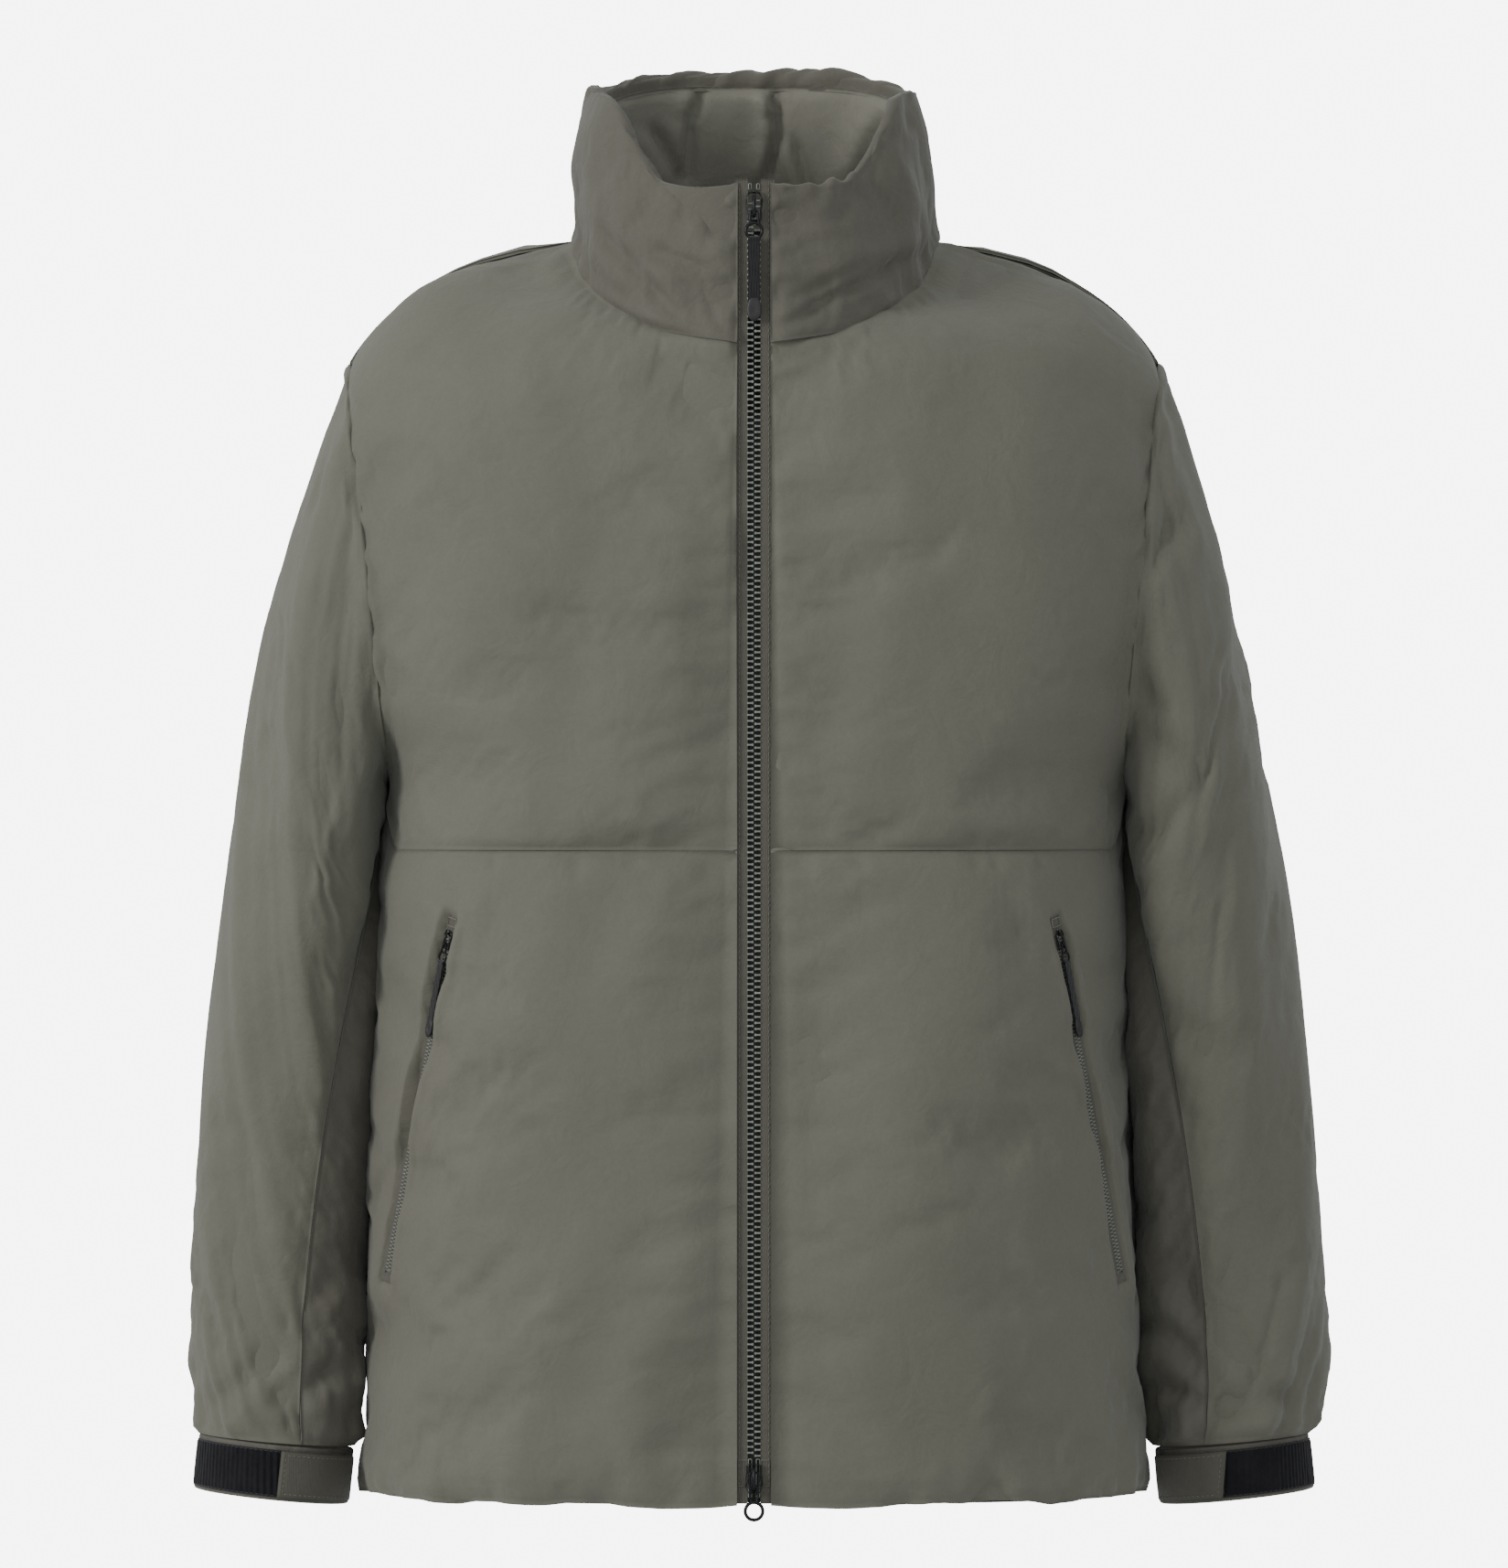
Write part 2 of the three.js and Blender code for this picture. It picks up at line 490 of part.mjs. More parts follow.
function sleeves() {
  const seam = (s) => 0.0012 + 0.006 * Math.pow(1 - s, 8); // half the gap along a seam, in turns
  for (const [name, side] of SIDES) {
    const group = new THREE.Group();
    root.add(group);
    const half = (from, to) => (under) =>
      mirrored((t, s) => sleeveAt(lerp(from(s) + seam(s), to(s) - seam(s), t), s, under(t, s)), side);
    const upper = half((s) => backSeam(s) - 1, frontSeam);
    const under = half(frontSeam, backSeam);
    const columns = (n) => Array.from({ length: n + 1 }, (_, i) => i / n);
    add(`sleeve_upper_${name}`, sheet(upper(() => 0), upper(sleeveThick), columns(12), SLEEVE_ROWS), SHELL, group);
    add(`sleeve_under_${name}`, sheet(under(() => 0), under(sleeveThick), columns(5), SLEEVE_ROWS), SHELL_DARK, group);
    const inside = EDGE + PAD - 1 + GAP;
    const lining = (extra) => mirrored((t, s) => sleeveAt(t, s, inside * bump(0.06 + 0.88 * s) + extra + 1.35), side);
    add(`lining_sleeve_${name}`, tube(lining(0), lining(LINING), 18, [...SLEEVE_ROWS.slice(2, -1), 0.985]), INSIDE, group);
    cuff(name, side, group);
  }
}

// ---- cuffs ----------------------------------------------------------------------------------------
const CUFF_TILT = 6; // degrees, down toward the body
const [CUFF_A, CUFF_B] = [42.5, 39.5]; // half width and half depth of the band
/** An arc of the cuff between two angles, 0 toward the body and 90 at the front, between two offsets. */
function cuffArc(side, from, to, inner, outer, z0, z1, steps, slant = 0) {
  const at = (angle, off) => {
    const a = degrees(angle);
    return new THREE.Vector2(-side * (CUFF_A + off) * Math.cos(a), -(CUFF_B + off) * Math.sin(a));
  };
  const span = (k) => lerp(from, to, k / steps);
  const ring = Array.from({ length: steps + 1 }, (_, k) => at(span(k), outer));
  const back = Array.from({ length: steps + 1 }, (_, k) => at(span(steps - k), inner));
  const g = new THREE.ExtrudeGeometry(new THREE.Shape([...ring, ...back]), { depth: z1 - z0, bevelEnabled: false });
  g.translate(0, 0, z0);
  if (slant) {
    const p = g.attributes.position;
    for (let i = 0; i < p.count; i++) if (p.getZ(i) > z0 + 1) p.setX(i, p.getX(i) + side * slant);
  }
  return g;
}
function cuff(name, side, parent) {
  const group = new THREE.Group();
  group.position.set((side * (CUFF_OUT[0] + CUFF_IN[0])) / 2, CUFF_Y, (CUFF_OUT[1] + CUFF_IN[1]) / 2);
  group.rotation.y = degrees(-side * CUFF_TILT);
  parent.add(group);
  const [thick, loop, hook, tab] = [3, 0.8, 0.8, 2.2];
  const outline = new THREE.Shape().absellipse(0, 0, CUFF_A, CUFF_B, 0, 2 * Math.PI);
  outline.holes.push(new THREE.Path().absellipse(0, 0, CUFF_A - thick, CUFF_B - thick, 0, 2 * Math.PI));
  const band = new THREE.ExtrudeGeometry(outline, { depth: CUFF_BAND - 1, bevelEnabled: false, curveSegments: 30 });
  add(`cuff_band_${name}`, closed(band.translate(0, 0, -CUFF_BAND)), SHELL_DARK, group);
  const [low, high] = [2 - CUFF_BAND, -3.5];
  const patch = cuffArc(side, 48, 168, GAP, GAP + loop, low, high, 15);
  add(`cuff_loop_patch_${name}`, closed(patch), LOOP, group);
  const over = 2 * GAP + loop;
  add(`cuff_hook_patch_${name}`, closed(cuffArc(side, 53, 79, over, over + hook, low + 2, high - 2, 4)), LOOP, group);
  const top = over + hook + GAP;
  const knuckle = new THREE.CylinderGeometry(tab, tab, high - low, 12).rotateX(Math.PI / 2);
  const a = degrees(TAB_ROOT);
  knuckle.translate(-side * (CUFF_A + GAP + tab) * Math.cos(a), -(CUFF_B + GAP + tab) * Math.sin(a), (low + high) / 2);
  const arm = cuffArc(side, TAB_ROOT, 84, top, top + tab, low, high, 9);
  add(`cuff_tab_${name}`, join(arm, knuckle), TAB, group);
}
const TAB_ROOT = 20; // where the cuff tab is sewn to the band, in degrees round the cuff

// ---- zips -----------------------------------------------------------------------------------------
/** Slider on a chain, drawn round its own middle: two plates, the wedge between them and the puller's bail. */
function sliderBody(k, thick) {
  const [w, l] = [4.8 * k, 8 * k];
  const shape = new THREE.Shape();
  shape.moveTo(-w, l * 0.45);
  shape.quadraticCurveTo(-w, l, -w * 0.5, l);
  shape.lineTo(w * 0.5, l);
  shape.quadraticCurveTo(w, l, w, l * 0.45);
  shape.lineTo(w * 0.78, -l);
  shape.lineTo(-w * 0.78, -l);
  shape.closePath();
  const face = thick / 2 + GAP;
  const skin = 1.4 * k;
  const bail = cut(
    box(-1.1 * k, 1.1 * k, -face - skin - 3.4 * k, -face - skin / 2, -6 * k, 6 * k),
    box(-3, 3, -face - skin - 2.5 * k, -face - skin - 0.15, -4.2 * k, 4.2 * k),
  );
  return join(
    plate(shape, -face - skin, -face),
    plate(shape, face, face + skin),
    box(-0.7 * k, 0.7 * k, -face - 0.2, face + 0.2, l * 0.35, l * 0.95),
    bail,
  );
}
const pullAxis = (k, thick) => ({ y: -(thick / 2 + GAP + 1.4 * k + 1.3 * k), z: -2.8 * k });

/** Wire ring through the bail, drawn round its top bar, hanging down. */
function wireRing(k, length) {
  const [half, wire] = [4.4 * k, 0.6 * k];
  const leg = (x) => new THREE.CylinderGeometry(wire, wire, length, 8).rotateX(Math.PI / 2).translate(x, 0, -length / 2);
  const corner = (x, z) => new THREE.SphereGeometry(wire * 1.02, 8, 6).translate(x, 0, z);
  return join(
    barX(2 * half, wire, 0, 0), barX(2 * half, wire, 0, -length), leg(-half), leg(half),
    corner(-half, 0), corner(half, 0), corner(-half, -length), corner(half, -length),
  );
}
/** Folded webbing round the ring's lower bar, drawn round that bar. */
function webbing(k, length) {
  const [half, thick, wire] = [3.2 * k, 1.1 * k, 0.6 * k];
  const eye = barX(2 * half, thick * 1.35, 0, 0, 12);
  const strap = box(-half, half, -thick, thick, -length, -0.5);
  return cut(join(eye, strap), barX(20, wire + 0.25, 0, 0, 12));
}
/** Moulded end of a webbing pull, narrow at the top and round below, with a finger hollow on its face. */
function mouldedEnd(k, top, length) {
  const w = 3.9 * k;
  const shape = new THREE.Shape();
  shape.moveTo(-w * 0.8, top);
  shape.lineTo(w * 0.8, top);
  shape.lineTo(w, top - length * 0.55);
  shape.quadraticCurveTo(w, top - length, 0, top - length);
  shape.quadraticCurveTo(-w, top - length, -w, top - length * 0.55);
  shape.closePath();
  const hollow = new THREE.SphereGeometry(2.6 * k, 10, 8).scale(1, 0.35, 1).translate(0, -1.5 * k, top - length * 0.55);
  return cut(plate(shape, -1.5 * k, 1.5 * k, 5), hollow);
}
/** Slider, ring, webbing and moulded end as nested groups, so that each can move on the one before. */
function puller(prefix, suffix, parent, z, k, thick, lengths) {
  const slider = new THREE.Group();
  slider.position.z = z;
  parent.add(slider);
  add(`${prefix}_slider${suffix}`, sliderBody(k, thick), BLACK, slider);
  const axis = pullAxis(k, thick);
  const ring = new THREE.Group();
  ring.position.set(0, axis.y, axis.z);
  slider.add(ring);
  add(`${prefix}_ring${suffix}`, wireRing(k, lengths.ring), METAL, ring);
  const strap = new THREE.Group();
  strap.position.z = -lengths.ring;
  ring.add(strap);
  add(`${prefix}_webbing${suffix}`, webbing(k, lengths.strap), WEBBING, strap);
  add(`${prefix}_pull_end${suffix}`, mouldedEnd(k, -lengths.strap - GAP, lengths.end), BLACK, strap);
}

/** Front zip, drawn straight up from the hem and leaned back as one group. */
function frontZip() {
  const zip = new THREE.Group();
  zip.position.set(0, -ZIP_DEPTH, HEM_Z);
  zip.rotation.x = -Math.atan(ZIP_LEAN);
  root.add(zip);
  const [chainIn, chainOut, chainThick, tapeOut, tapeHalf] = [1, 3.2, 2.4, 10.6, 0.4];
  const mirror = (a, b, s) => (s > 0 ? [a, b] : [-b, -a]);
  for (const [name, side] of SIDES) {
    const strip = (x0, x1, y0, y1, z0, z1) => box(...mirror(x0, x1, side), y0, y1, z0, z1);
    add(`front_tape_${name}`, strip(chainOut + GAP, tapeOut, -tapeHalf, tapeHalf, 4, ZIP_TOP + 4), TAPE, zip);
    add(`front_chain_${name}`, strip(chainIn, chainOut, -chainThick / 2, chainThick / 2, 25, ZIP_TOP - 6), TEETH, zip);
    add(`front_stop_${name}`, strip(chainIn + 0.2, chainOut, -1.2, 1.2, ZIP_TOP - 2, ZIP_TOP + 1.5), TEETH, zip);
    add(`front_pin_${name}`, strip(chainIn, chainOut, -1, 1, 4, 25 - GAP), TEETH, zip);
    add(`front_film_${name}`, strip(chainOut + GAP, 8.4, -tapeHalf - GAP - 0.4, -tapeHalf - GAP, 10, 24), FILM, zip);
  }
  puller("front", "_top", zip, FRONT_RANGE.top, 1, chainThick, { ring: 15, strap: 33, end: 11 });
  const slider = new THREE.Group();
  slider.position.z = FRONT_RANGE.bottom;
  zip.add(slider);
  add("front_slider_bottom", sliderBody(1, chainThick).rotateY(Math.PI), BLACK, slider);
  const axis = pullAxis(1, chainThick);
  const pull = new THREE.Group();
  pull.position.set(0, axis.y, -axis.z);
  slider.add(pull);
  const loop = new THREE.Shape().absarc(0, -20, 5.6, 0, 2 * Math.PI);
  loop.holes.push(new THREE.Path().absarc(0, -20, 3.7, 0, 2 * Math.PI));
  const neckPiece = cut(box(-3, 3, -0.55, 0.55, -15.6, 0.8), box(-1.7, 1.7, -2, 2, -12, -0.8));
  add("front_pull_bottom", join(plate(loop, -0.8, 0.8, 20), neckPiece), METAL, pull);
  // the wind flap is sewn along the left lining and lies behind the zip
  add("zip_guard", box(-13, 35, chainThick / 2 + 2.3, chainThick / 2 + 3.5, 24, ZIP_TOP - 121), INSIDE, zip);
}

// ---- pockets --------------------------------------------------------------------------------------
const POCKET_LENGTH = 208; // slot in the front
const frontPoint = ([x, z]) => new THREE.Vector3(x, -depthAt(x, z, true) - 2.5, z);
/** Frame of a pocket zip: z up the zip, -y outward, its origin at the zip's middle. */
function pocketFrame(side) {
  const [top, low] = [frontPoint(POCKET_TOP), frontPoint(POCKET_LOW)];
  const middle = top.clone().add(low).multiplyScalar(0.5);
  const up = top.clone().sub(low).normalize();
  const [x, z] = [middle.x, middle.z];
  const across = frontPoint([x + 4, z]).sub(frontPoint([x - 4, z]));
  const out = across.cross(up).normalize();
  const y = out.dot(middle) > 0 ? out.negate() : out;
  middle.addScaledVector(y, 0.9);
  const m = new THREE.Matrix4().makeBasis(new THREE.Vector3().crossVectors(y, up), y, up).setPosition(middle);
  if (side > 0) return m;
  const flip = new THREE.Matrix4().makeScale(-1, 1, 1);
  return flip.clone().multiply(m).multiply(flip);
}
function pockets() {
  const k = 0.66;
  const [chainIn, chainOut, thick, length] = [0.7, 2.1, 1.8, 190];
  for (const [name, side] of SIDES) {
    const zip = new THREE.Group();
    zip.applyMatrix4(pocketFrame(side));
    root.add(zip);
    const end = length / 2;
    const tape = cut(
      box(-POCKET_SLOT + GAP, POCKET_SLOT - GAP, -0.4, 0.4, -end - 6, end + 6),
      box(-chainOut - GAP, chainOut + GAP, -1, 1, -end - 2, end + 1),
    );
    add(`pocket_tape_${name}`, tape, TAPE, zip);
    const chain = join(
      box(chainIn, chainOut, -thick / 2, thick / 2, -end, end),
      box(-chainOut, -chainIn, -thick / 2, thick / 2, -end, end),
      box(-chainOut, chainOut, -thick / 2, thick / 2, -end - 1.5, -end + 0.5),
    );
    add(`pocket_chain_${name}`, chain, TEETH, zip);
    const garage = box(-3.4, 3.4, -1.2, -0.7, end + 1.2, end + 5.8);
    add(`pocket_garage_${name}`, garage, GARAGE, zip);
    puller("pocket", `_${name}`, zip, end - 6, k, thick, { ring: 11, strap: 32, end: 9 });
  }
}

bodyPanels();
hemElastic();
collar();
hangerLoop();
sleeves();
frontZip();
pockets();

export default root;
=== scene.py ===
import math

import bmesh
import bpy
import numpy as np
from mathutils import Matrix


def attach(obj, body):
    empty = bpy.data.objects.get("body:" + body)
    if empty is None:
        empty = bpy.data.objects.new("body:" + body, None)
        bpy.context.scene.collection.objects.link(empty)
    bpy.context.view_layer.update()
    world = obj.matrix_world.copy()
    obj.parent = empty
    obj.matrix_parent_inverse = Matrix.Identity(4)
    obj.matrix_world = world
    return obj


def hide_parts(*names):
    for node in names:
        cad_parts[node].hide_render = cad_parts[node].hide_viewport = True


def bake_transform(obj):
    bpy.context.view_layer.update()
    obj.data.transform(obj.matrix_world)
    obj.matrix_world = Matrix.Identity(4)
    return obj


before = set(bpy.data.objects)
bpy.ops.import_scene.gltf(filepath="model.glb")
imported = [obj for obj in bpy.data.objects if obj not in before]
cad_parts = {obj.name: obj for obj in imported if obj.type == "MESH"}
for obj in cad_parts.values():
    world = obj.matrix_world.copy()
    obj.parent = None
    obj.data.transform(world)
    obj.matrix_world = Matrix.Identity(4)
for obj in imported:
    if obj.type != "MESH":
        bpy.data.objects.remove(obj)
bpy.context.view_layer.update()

MM = 0.001


def link(obj):
    """Puts an object into the scene."""
    bpy.context.scene.collection.objects.link(obj)
    return obj


def look_at(obj, point):
    """Turns a camera or a light so that it faces a point."""
    d = np.asarray(point, float) - np.asarray(obj.location, float)
    obj.rotation_euler = (math.atan2(math.hypot(d[0], d[1]), -d[2]), 0.0, math.atan2(d[1], d[0]) - math.pi / 2)


camera = link(bpy.data.objects.new("camera", bpy.data.cameras.new("camera")))
camera.location = (0.0, -5.5, -0.2975)
look_at(camera, (0.0, 0.0, -0.2975))
camera.data.lens = 231.0
camera.data.sensor_width = 36.0
camera.data.clip_end = 60.0
bpy.context.scene.camera = camera


def soft_light(name, place, size, power, colour=(1, 1, 1)):
    """A rectangular area light turned to the middle of the jacket."""
    data = bpy.data.lights.new(name, "AREA")
    data.shape = "RECTANGLE"
    data.size, data.size_y = size
    data.energy, data.color = power, colour
    lamp = link(bpy.data.objects.new(name, data))
    lamp.location = place
    look_at(lamp, (0, 0, -0.35))
    return lamp


soft_light("key_light", (-3.0, -1.9, 0.9), (1.0, 1.5), 82, (1.0, 0.99, 0.97))
soft_light("fill_light", (2.8, -3.2, 0.1), (2.0, 2.4), 10, (0.96, 0.98, 1.0))
soft_light("top_light", (0.0, -0.9, 2.3), (2.4, 1.4), 7)
soft_light("front_light", (0.0, -5.2, 1.4), (2.4, 1.2), 9)

world = bpy.data.worlds.new("studio")
bpy.context.scene.world = world
world.use_nodes = True
world.node_tree.nodes["Background"].inputs[0].default_value = (0.95, 0.97, 1.0, 1)
world.node_tree.nodes["Background"].inputs[1].default_value = 0.66
backdrop = world.node_tree.nodes.new("ShaderNodeBackground")
backdrop.inputs[0].default_value = (0.9, 0.9, 0.9, 1)
backdrop.inputs[1].default_value = 7.5
seen = world.node_tree.nodes.new("ShaderNodeLightPath")
choice = world.node_tree.nodes.new("ShaderNodeMixShader")
world.node_tree.links.new(seen.outputs["Is Camera Ray"], choice.inputs[0])
world.node_tree.links.new(world.node_tree.nodes["Background"].outputs[0], choice.inputs[1])
world.node_tree.links.new(backdrop.outputs[0], choice.inputs[2])
world.node_tree.links.new(choice.outputs[0], world.node_tree.nodes["World Output"].inputs[0])


def new_mesh(name, points, faces, uvs=None, smooth=True):
    """A mesh object from points in metres and a table of corners, with its place in the mesh."""
    mesh = bpy.data.meshes.new(name)
    points = np.asarray(points, np.float32)
    faces = np.asarray(faces, np.int32)
    mesh.vertices.add(len(points))
    mesh.vertices.foreach_set("co", points.ravel())
    mesh.loops.add(faces.size)
    mesh.loops.foreach_set("vertex_index", faces.ravel())
    mesh.polygons.add(len(faces))
    mesh.polygons.foreach_set("loop_start", np.arange(0, faces.size, faces.shape[1], dtype=np.int32))
    if uvs is not None:
        layer = mesh.uv_layers.new(name="UVMap")
        layer.data.foreach_set("uv", np.asarray(uvs, np.float32)[faces.ravel()].ravel())
    mesh.polygons.foreach_set("use_smooth", np.full(len(faces), smooth))
    mesh.update(calc_edges=True)
    mesh.validate()
    return link(bpy.data.objects.new(name, mesh))


def node_of(tree, kind, values=(), **options):
    """A shader node with its options and the starting values of some of its sockets."""
    node = tree.nodes.new(kind)
    for key, value in options.items():
        setattr(node, key, value)
    for socket, value in dict(values).items():
        node.inputs[socket].default_value = value
    return node


def principled(name, colour, roughness=0.7, metallic=0.0, specular=0.4):
    """A new material and its surface shader, with the plain starting values."""
    mat = bpy.data.materials.new(name)
    mat.use_nodes = True
    shader = mat.node_tree.nodes["Principled BSDF"]
    shader.inputs["Base Color"].default_value = (*colour, 1)
    shader.inputs["Roughness"].default_value = roughness
    shader.inputs["Metallic"].default_value = metallic
    shader.inputs["Specular IOR Level"].default_value = specular
    return mat, shader


# ---------------------------------------------------------------------------------------------------
# Fronts
# Four padded panels of plain-woven nylon, two on each side of the zip, joined by a level seam across
# the chest. They are sewn flat at the neck, zip, side and hem and filled with wadding in between.
# ---------------------------------------------------------------------------------------------------
HEM_Z, SEAM_Z = -681.0, -333.0
NECK_HALF, NECK_BACK = 97.0, 80.0
ZIP_DEPTH, ZIP_LEAN, ZIP_SETBACK, ZIP_EDGE = 150.0, 0.0705, 3.8, 9.0
ARM_TOP, ARM_LOW = (223.0, -70.0), (200.0, -300.0)
POCKET_TOP, POCKET_LOW = (162.0, -372.0), (198.0, -563.0)
EDGE, PAD = 2.0, 7.0
SIDES = (("left", 1), ("right", -1))
BODY_CENTRE = np.array([0, 0, -350.0])


def curve(points):
    """A smooth curve through a few points that never overshoots them (harmonic-mean slopes)."""
    p = np.array(sorted(points), float)
    x, y = p[:, 0], p[:, 1]
    step = np.diff(y) / np.diff(x)
    a, b = step[:-1], step[1:]
    inner = np.where(a * b > 0, 2 * a * b / np.where(a + b == 0, 1, a + b), 0)
    slope = np.concatenate([step[:1], inner, step[-1:]])

    def at(v):
        v = np.clip(np.asarray(v, float), x[0], x[-1])
        i = np.clip(np.searchsorted(x, v) - 1, 0, len(x) - 2)
        h = x[i + 1] - x[i]
        t = (v - x[i]) / h
        return (y[i] * (2 * t**3 - 3 * t**2 + 1) + slope[i] * h * (t**3 - 2 * t**2 + t)
                + y[i + 1] * (3 * t**2 - 2 * t**3) + slope[i + 1] * h * (t**3 - t**2))

    return at


def smooth(a, b, x):
    """0 below a and 1 above b, eased between: t squared times (3 minus 2 t)."""
    t = np.clip((np.asarray(x, float) - a) / (b - a), 0, 1)
    return t * t * (3 - 2 * t)


def mixed(a, b, t):
    """From a to b by the share t."""
    return a + (b - a) * t


def bump(t):
    """A rounded hill over 0 to 1: the sine of a half turn, to the power 0.6."""
    return np.maximum(0, np.sin(math.pi * t)) ** 0.6


def zip_depth(z):
    return ZIP_DEPTH - ZIP_LEAN * (z - HEM_Z)


half_width = curve([
    (0, NECK_HALF), (-8.5, 142), (-18.5, 168), (-43.5, 203), ARM_TOP[::-1], (-120, 241), (-185, 247),
    (-250, 229), ARM_LOW[::-1], (-370, 202), (-493, 206), (-600, 209), (HEM_Z, 211)])
NECK_FRONT = zip_depth(-60) + ZIP_SETBACK
shoulder_front = curve([
    (0, 12), (-12, 34), (-26, 55), (-41, 83), (-50, 96), (-60, NECK_FRONT), (-90, zip_depth(-90) + ZIP_SETBACK)])
back_depth = curve([
    (0, 12), (-5, 40), (-15, NECK_BACK), (-40, 97), (-70, 107), (-185, 120), (-300, 122), (HEM_Z, 112)])
squareness = curve([(0, 1), (-60, 1), (-200, 0.8), (-420, 0.66), (HEM_Z, 0.66)])


def front_depth(z):
    return np.where(z > -90, shoulder_front(z), zip_depth(z) + ZIP_SETBACK)


def body_depth(z, front):
    return np.where(front, front_depth(z), back_depth(z))


def arm_x(z):
    return mixed(ARM_TOP[0], ARM_LOW[0], (z - ARM_TOP[1]) / (ARM_LOW[1] - ARM_TOP[1]))


def in_armhole(z):
    return (z < ARM_TOP[1]) & (z > ARM_LOW[1])


def side_x(z):
    return np.where(in_armhole(z), arm_x(z) - 0.15, half_width(z))


def ring_angle(x, z):
    return np.arccos(np.clip(x / half_width(z), 0, 1) ** (1 / squareness(z)))


def depth_at(x, z, front):
    return body_depth(z, front) * np.sin(ring_angle(x, z)) ** squareness(z)


def neck(angle):
    """The neck seam: angle 0 at the zip, a quarter turn at the shoulder; its height is found by halving."""
    angle = np.asarray(angle, float)
    front = np.cos(angle) > 0
    x = NECK_HALF * np.sin(angle)
    y = np.abs(np.cos(angle)) * np.where(front, NECK_FRONT, NECK_BACK)
    low, high = np.where(front, -63.0, -20.0), np.zeros_like(x)
    for _ in range(40):
        z = (low + high) / 2
        inside = (x / half_width(z)) ** 2 + (y / body_depth(z, front)) ** 2 < 1
        low, high = np.where(inside, z, low), np.where(inside, high, z)
    return x, np.where(front, -y, y), (low + high) / 2


NECK_START = math.asin(ZIP_EDGE / NECK_HALF)


def chest_seam(u):
    return mixed(SEAM_Z, ARM_LOW[1] - 1.5, smooth(0.8, 1, u))


def front_face(u, w):
    """Left front: u from the zip to the side, w from the neck (0) by the chest seam (1) to the hem (2)."""
    x0, y0, z0 = neck(mixed(NECK_START, math.pi / 2, u))
    seam = chest_seam(u)
    z = np.where(w < 1, mixed(z0, seam, w), mixed(seam, HEM_Z, w - 1))

    def turn(x, zz, y):
        return np.arctan2(np.abs(y) / front_depth(zz), x / half_width(zz))

    start = turn(ZIP_EDGE, z0, NECK_FRONT)
    at_neck = np.clip((start - turn(x0, z0, y0)) / start, 0, 1)
    share = mixed(at_neck, u, smooth(0, 0.4, w))
    angle = mixed(ring_angle(ZIP_EDGE, z), ring_angle(side_x(z), z), share)
    e = squareness(z)
    puff = 5 * np.sin(math.pi * u**0.6) * np.sqrt(np.abs(np.sin(math.pi * w))) * smooth(0, 0.3, w)
    p = np.stack([half_width(z) * np.cos(angle) ** e,
                  np.minimum(-front_depth(z) * np.maximum(np.sin(angle), 0) ** e - puff, -0.15), z], -1)
    p[..., 0] = np.where(in_armhole(z), np.minimum(p[..., 0], arm_x(z) - 0.15), p[..., 0])
    return p


def noise(x, y, seed):
    """Smooth random heights from -1 to 1 on a unit lattice, eased between its points."""
    table = np.random.default_rng(seed).uniform(-1, 1, (64, 64))
    ix, iy = np.floor(x).astype(int), np.floor(y).astype(int)
    fx, fy = x - ix, y - iy
    fx, fy = fx * fx * (3 - 2 * fx), fy * fy * (3 - 2 * fy)
    a, b = table[ix % 64, iy % 64], table[(ix + 1) % 64, iy % 64]
    c, d = table[ix % 64, (iy + 1) % 64], table[(ix + 1) % 64, (iy + 1) % 64]
    return mixed(mixed(a, b, fx), mixed(c, d, fx), fy)


def normals_of(p, centre):
    """Unit normals of a grid of points, turned away from a centre."""
    n = np.cross(np.gradient(p, axis=0), np.gradient(p, axis=1))
    n /= np.maximum(np.linalg.norm(n, axis=-1, keepdims=True), 1e-9)
    return -n if np.sum(n * (p - centre)) < 0 else n


def edge_distances(p):
    """Distance of every grid point from the grid's edges, measured on it: u low, u high, v low, v high."""
    du = np.linalg.norm(np.diff(p, axis=0), axis=-1)
    dv = np.linalg.norm(np.diff(p, axis=1), axis=-1)
    u = np.concatenate([np.zeros((1, p.shape[1])), np.cumsum(du, 0)])
    v = np.concatenate([np.zeros((p.shape[0], 1)), np.cumsum(dv, 1)], 1)
    return u, u[-1:] - u, v, v[:, -1:] - v


def gathered_hem(p):
    """The hem's edge rises and falls a little, as the elastic behind it gathers the cloth: waves 16 mm apart."""
    wave = 2.6 * noise(p[..., 0] / 16, p[..., 1] / 90, 37) * smooth(HEM_Z + 24, HEM_Z, p[..., 2])
    lift = wave * smooth(10, 30, np.abs(p[..., 0]))
    return np.stack([p[..., 0], p[..., 1], p[..., 2] + lift], -1)


def shell_faces(n, m):
    """Corners of a closed sheet: an outer grid of n by m points, an inner one, and the walls between."""
    i, j = np.meshgrid(np.arange(n - 1), np.arange(m - 1), indexing="ij")
    a = (i * m + j).ravel()
    quads = np.stack([a, a + m, a + m + 1, a + 1], 1)
    edge = np.concatenate([np.arange(m), np.arange(1, n) * m + m - 1,
                           (n - 1) * m + np.arange(m - 2, -1, -1), np.arange(n - 2, 0, -1) * m])
    after = np.roll(edge, -1)
    walls = np.stack([after, edge, edge + n * m, after + n * m], 1)
    return np.concatenate([quads, quads[:, ::-1] + n * m, walls])


def outward(obj):
    """Turns a closed mesh's faces outward by the sign of its volume."""
    bm = bmesh.new()
    bm.from_mesh(obj.data)
    if bm.calc_volume(signed=True) < 0:
        bmesh.ops.reverse_faces(bm, faces=bm.faces[:])
        bm.to_mesh(obj.data)
        obj.data.update()
    bm.free()
    return obj


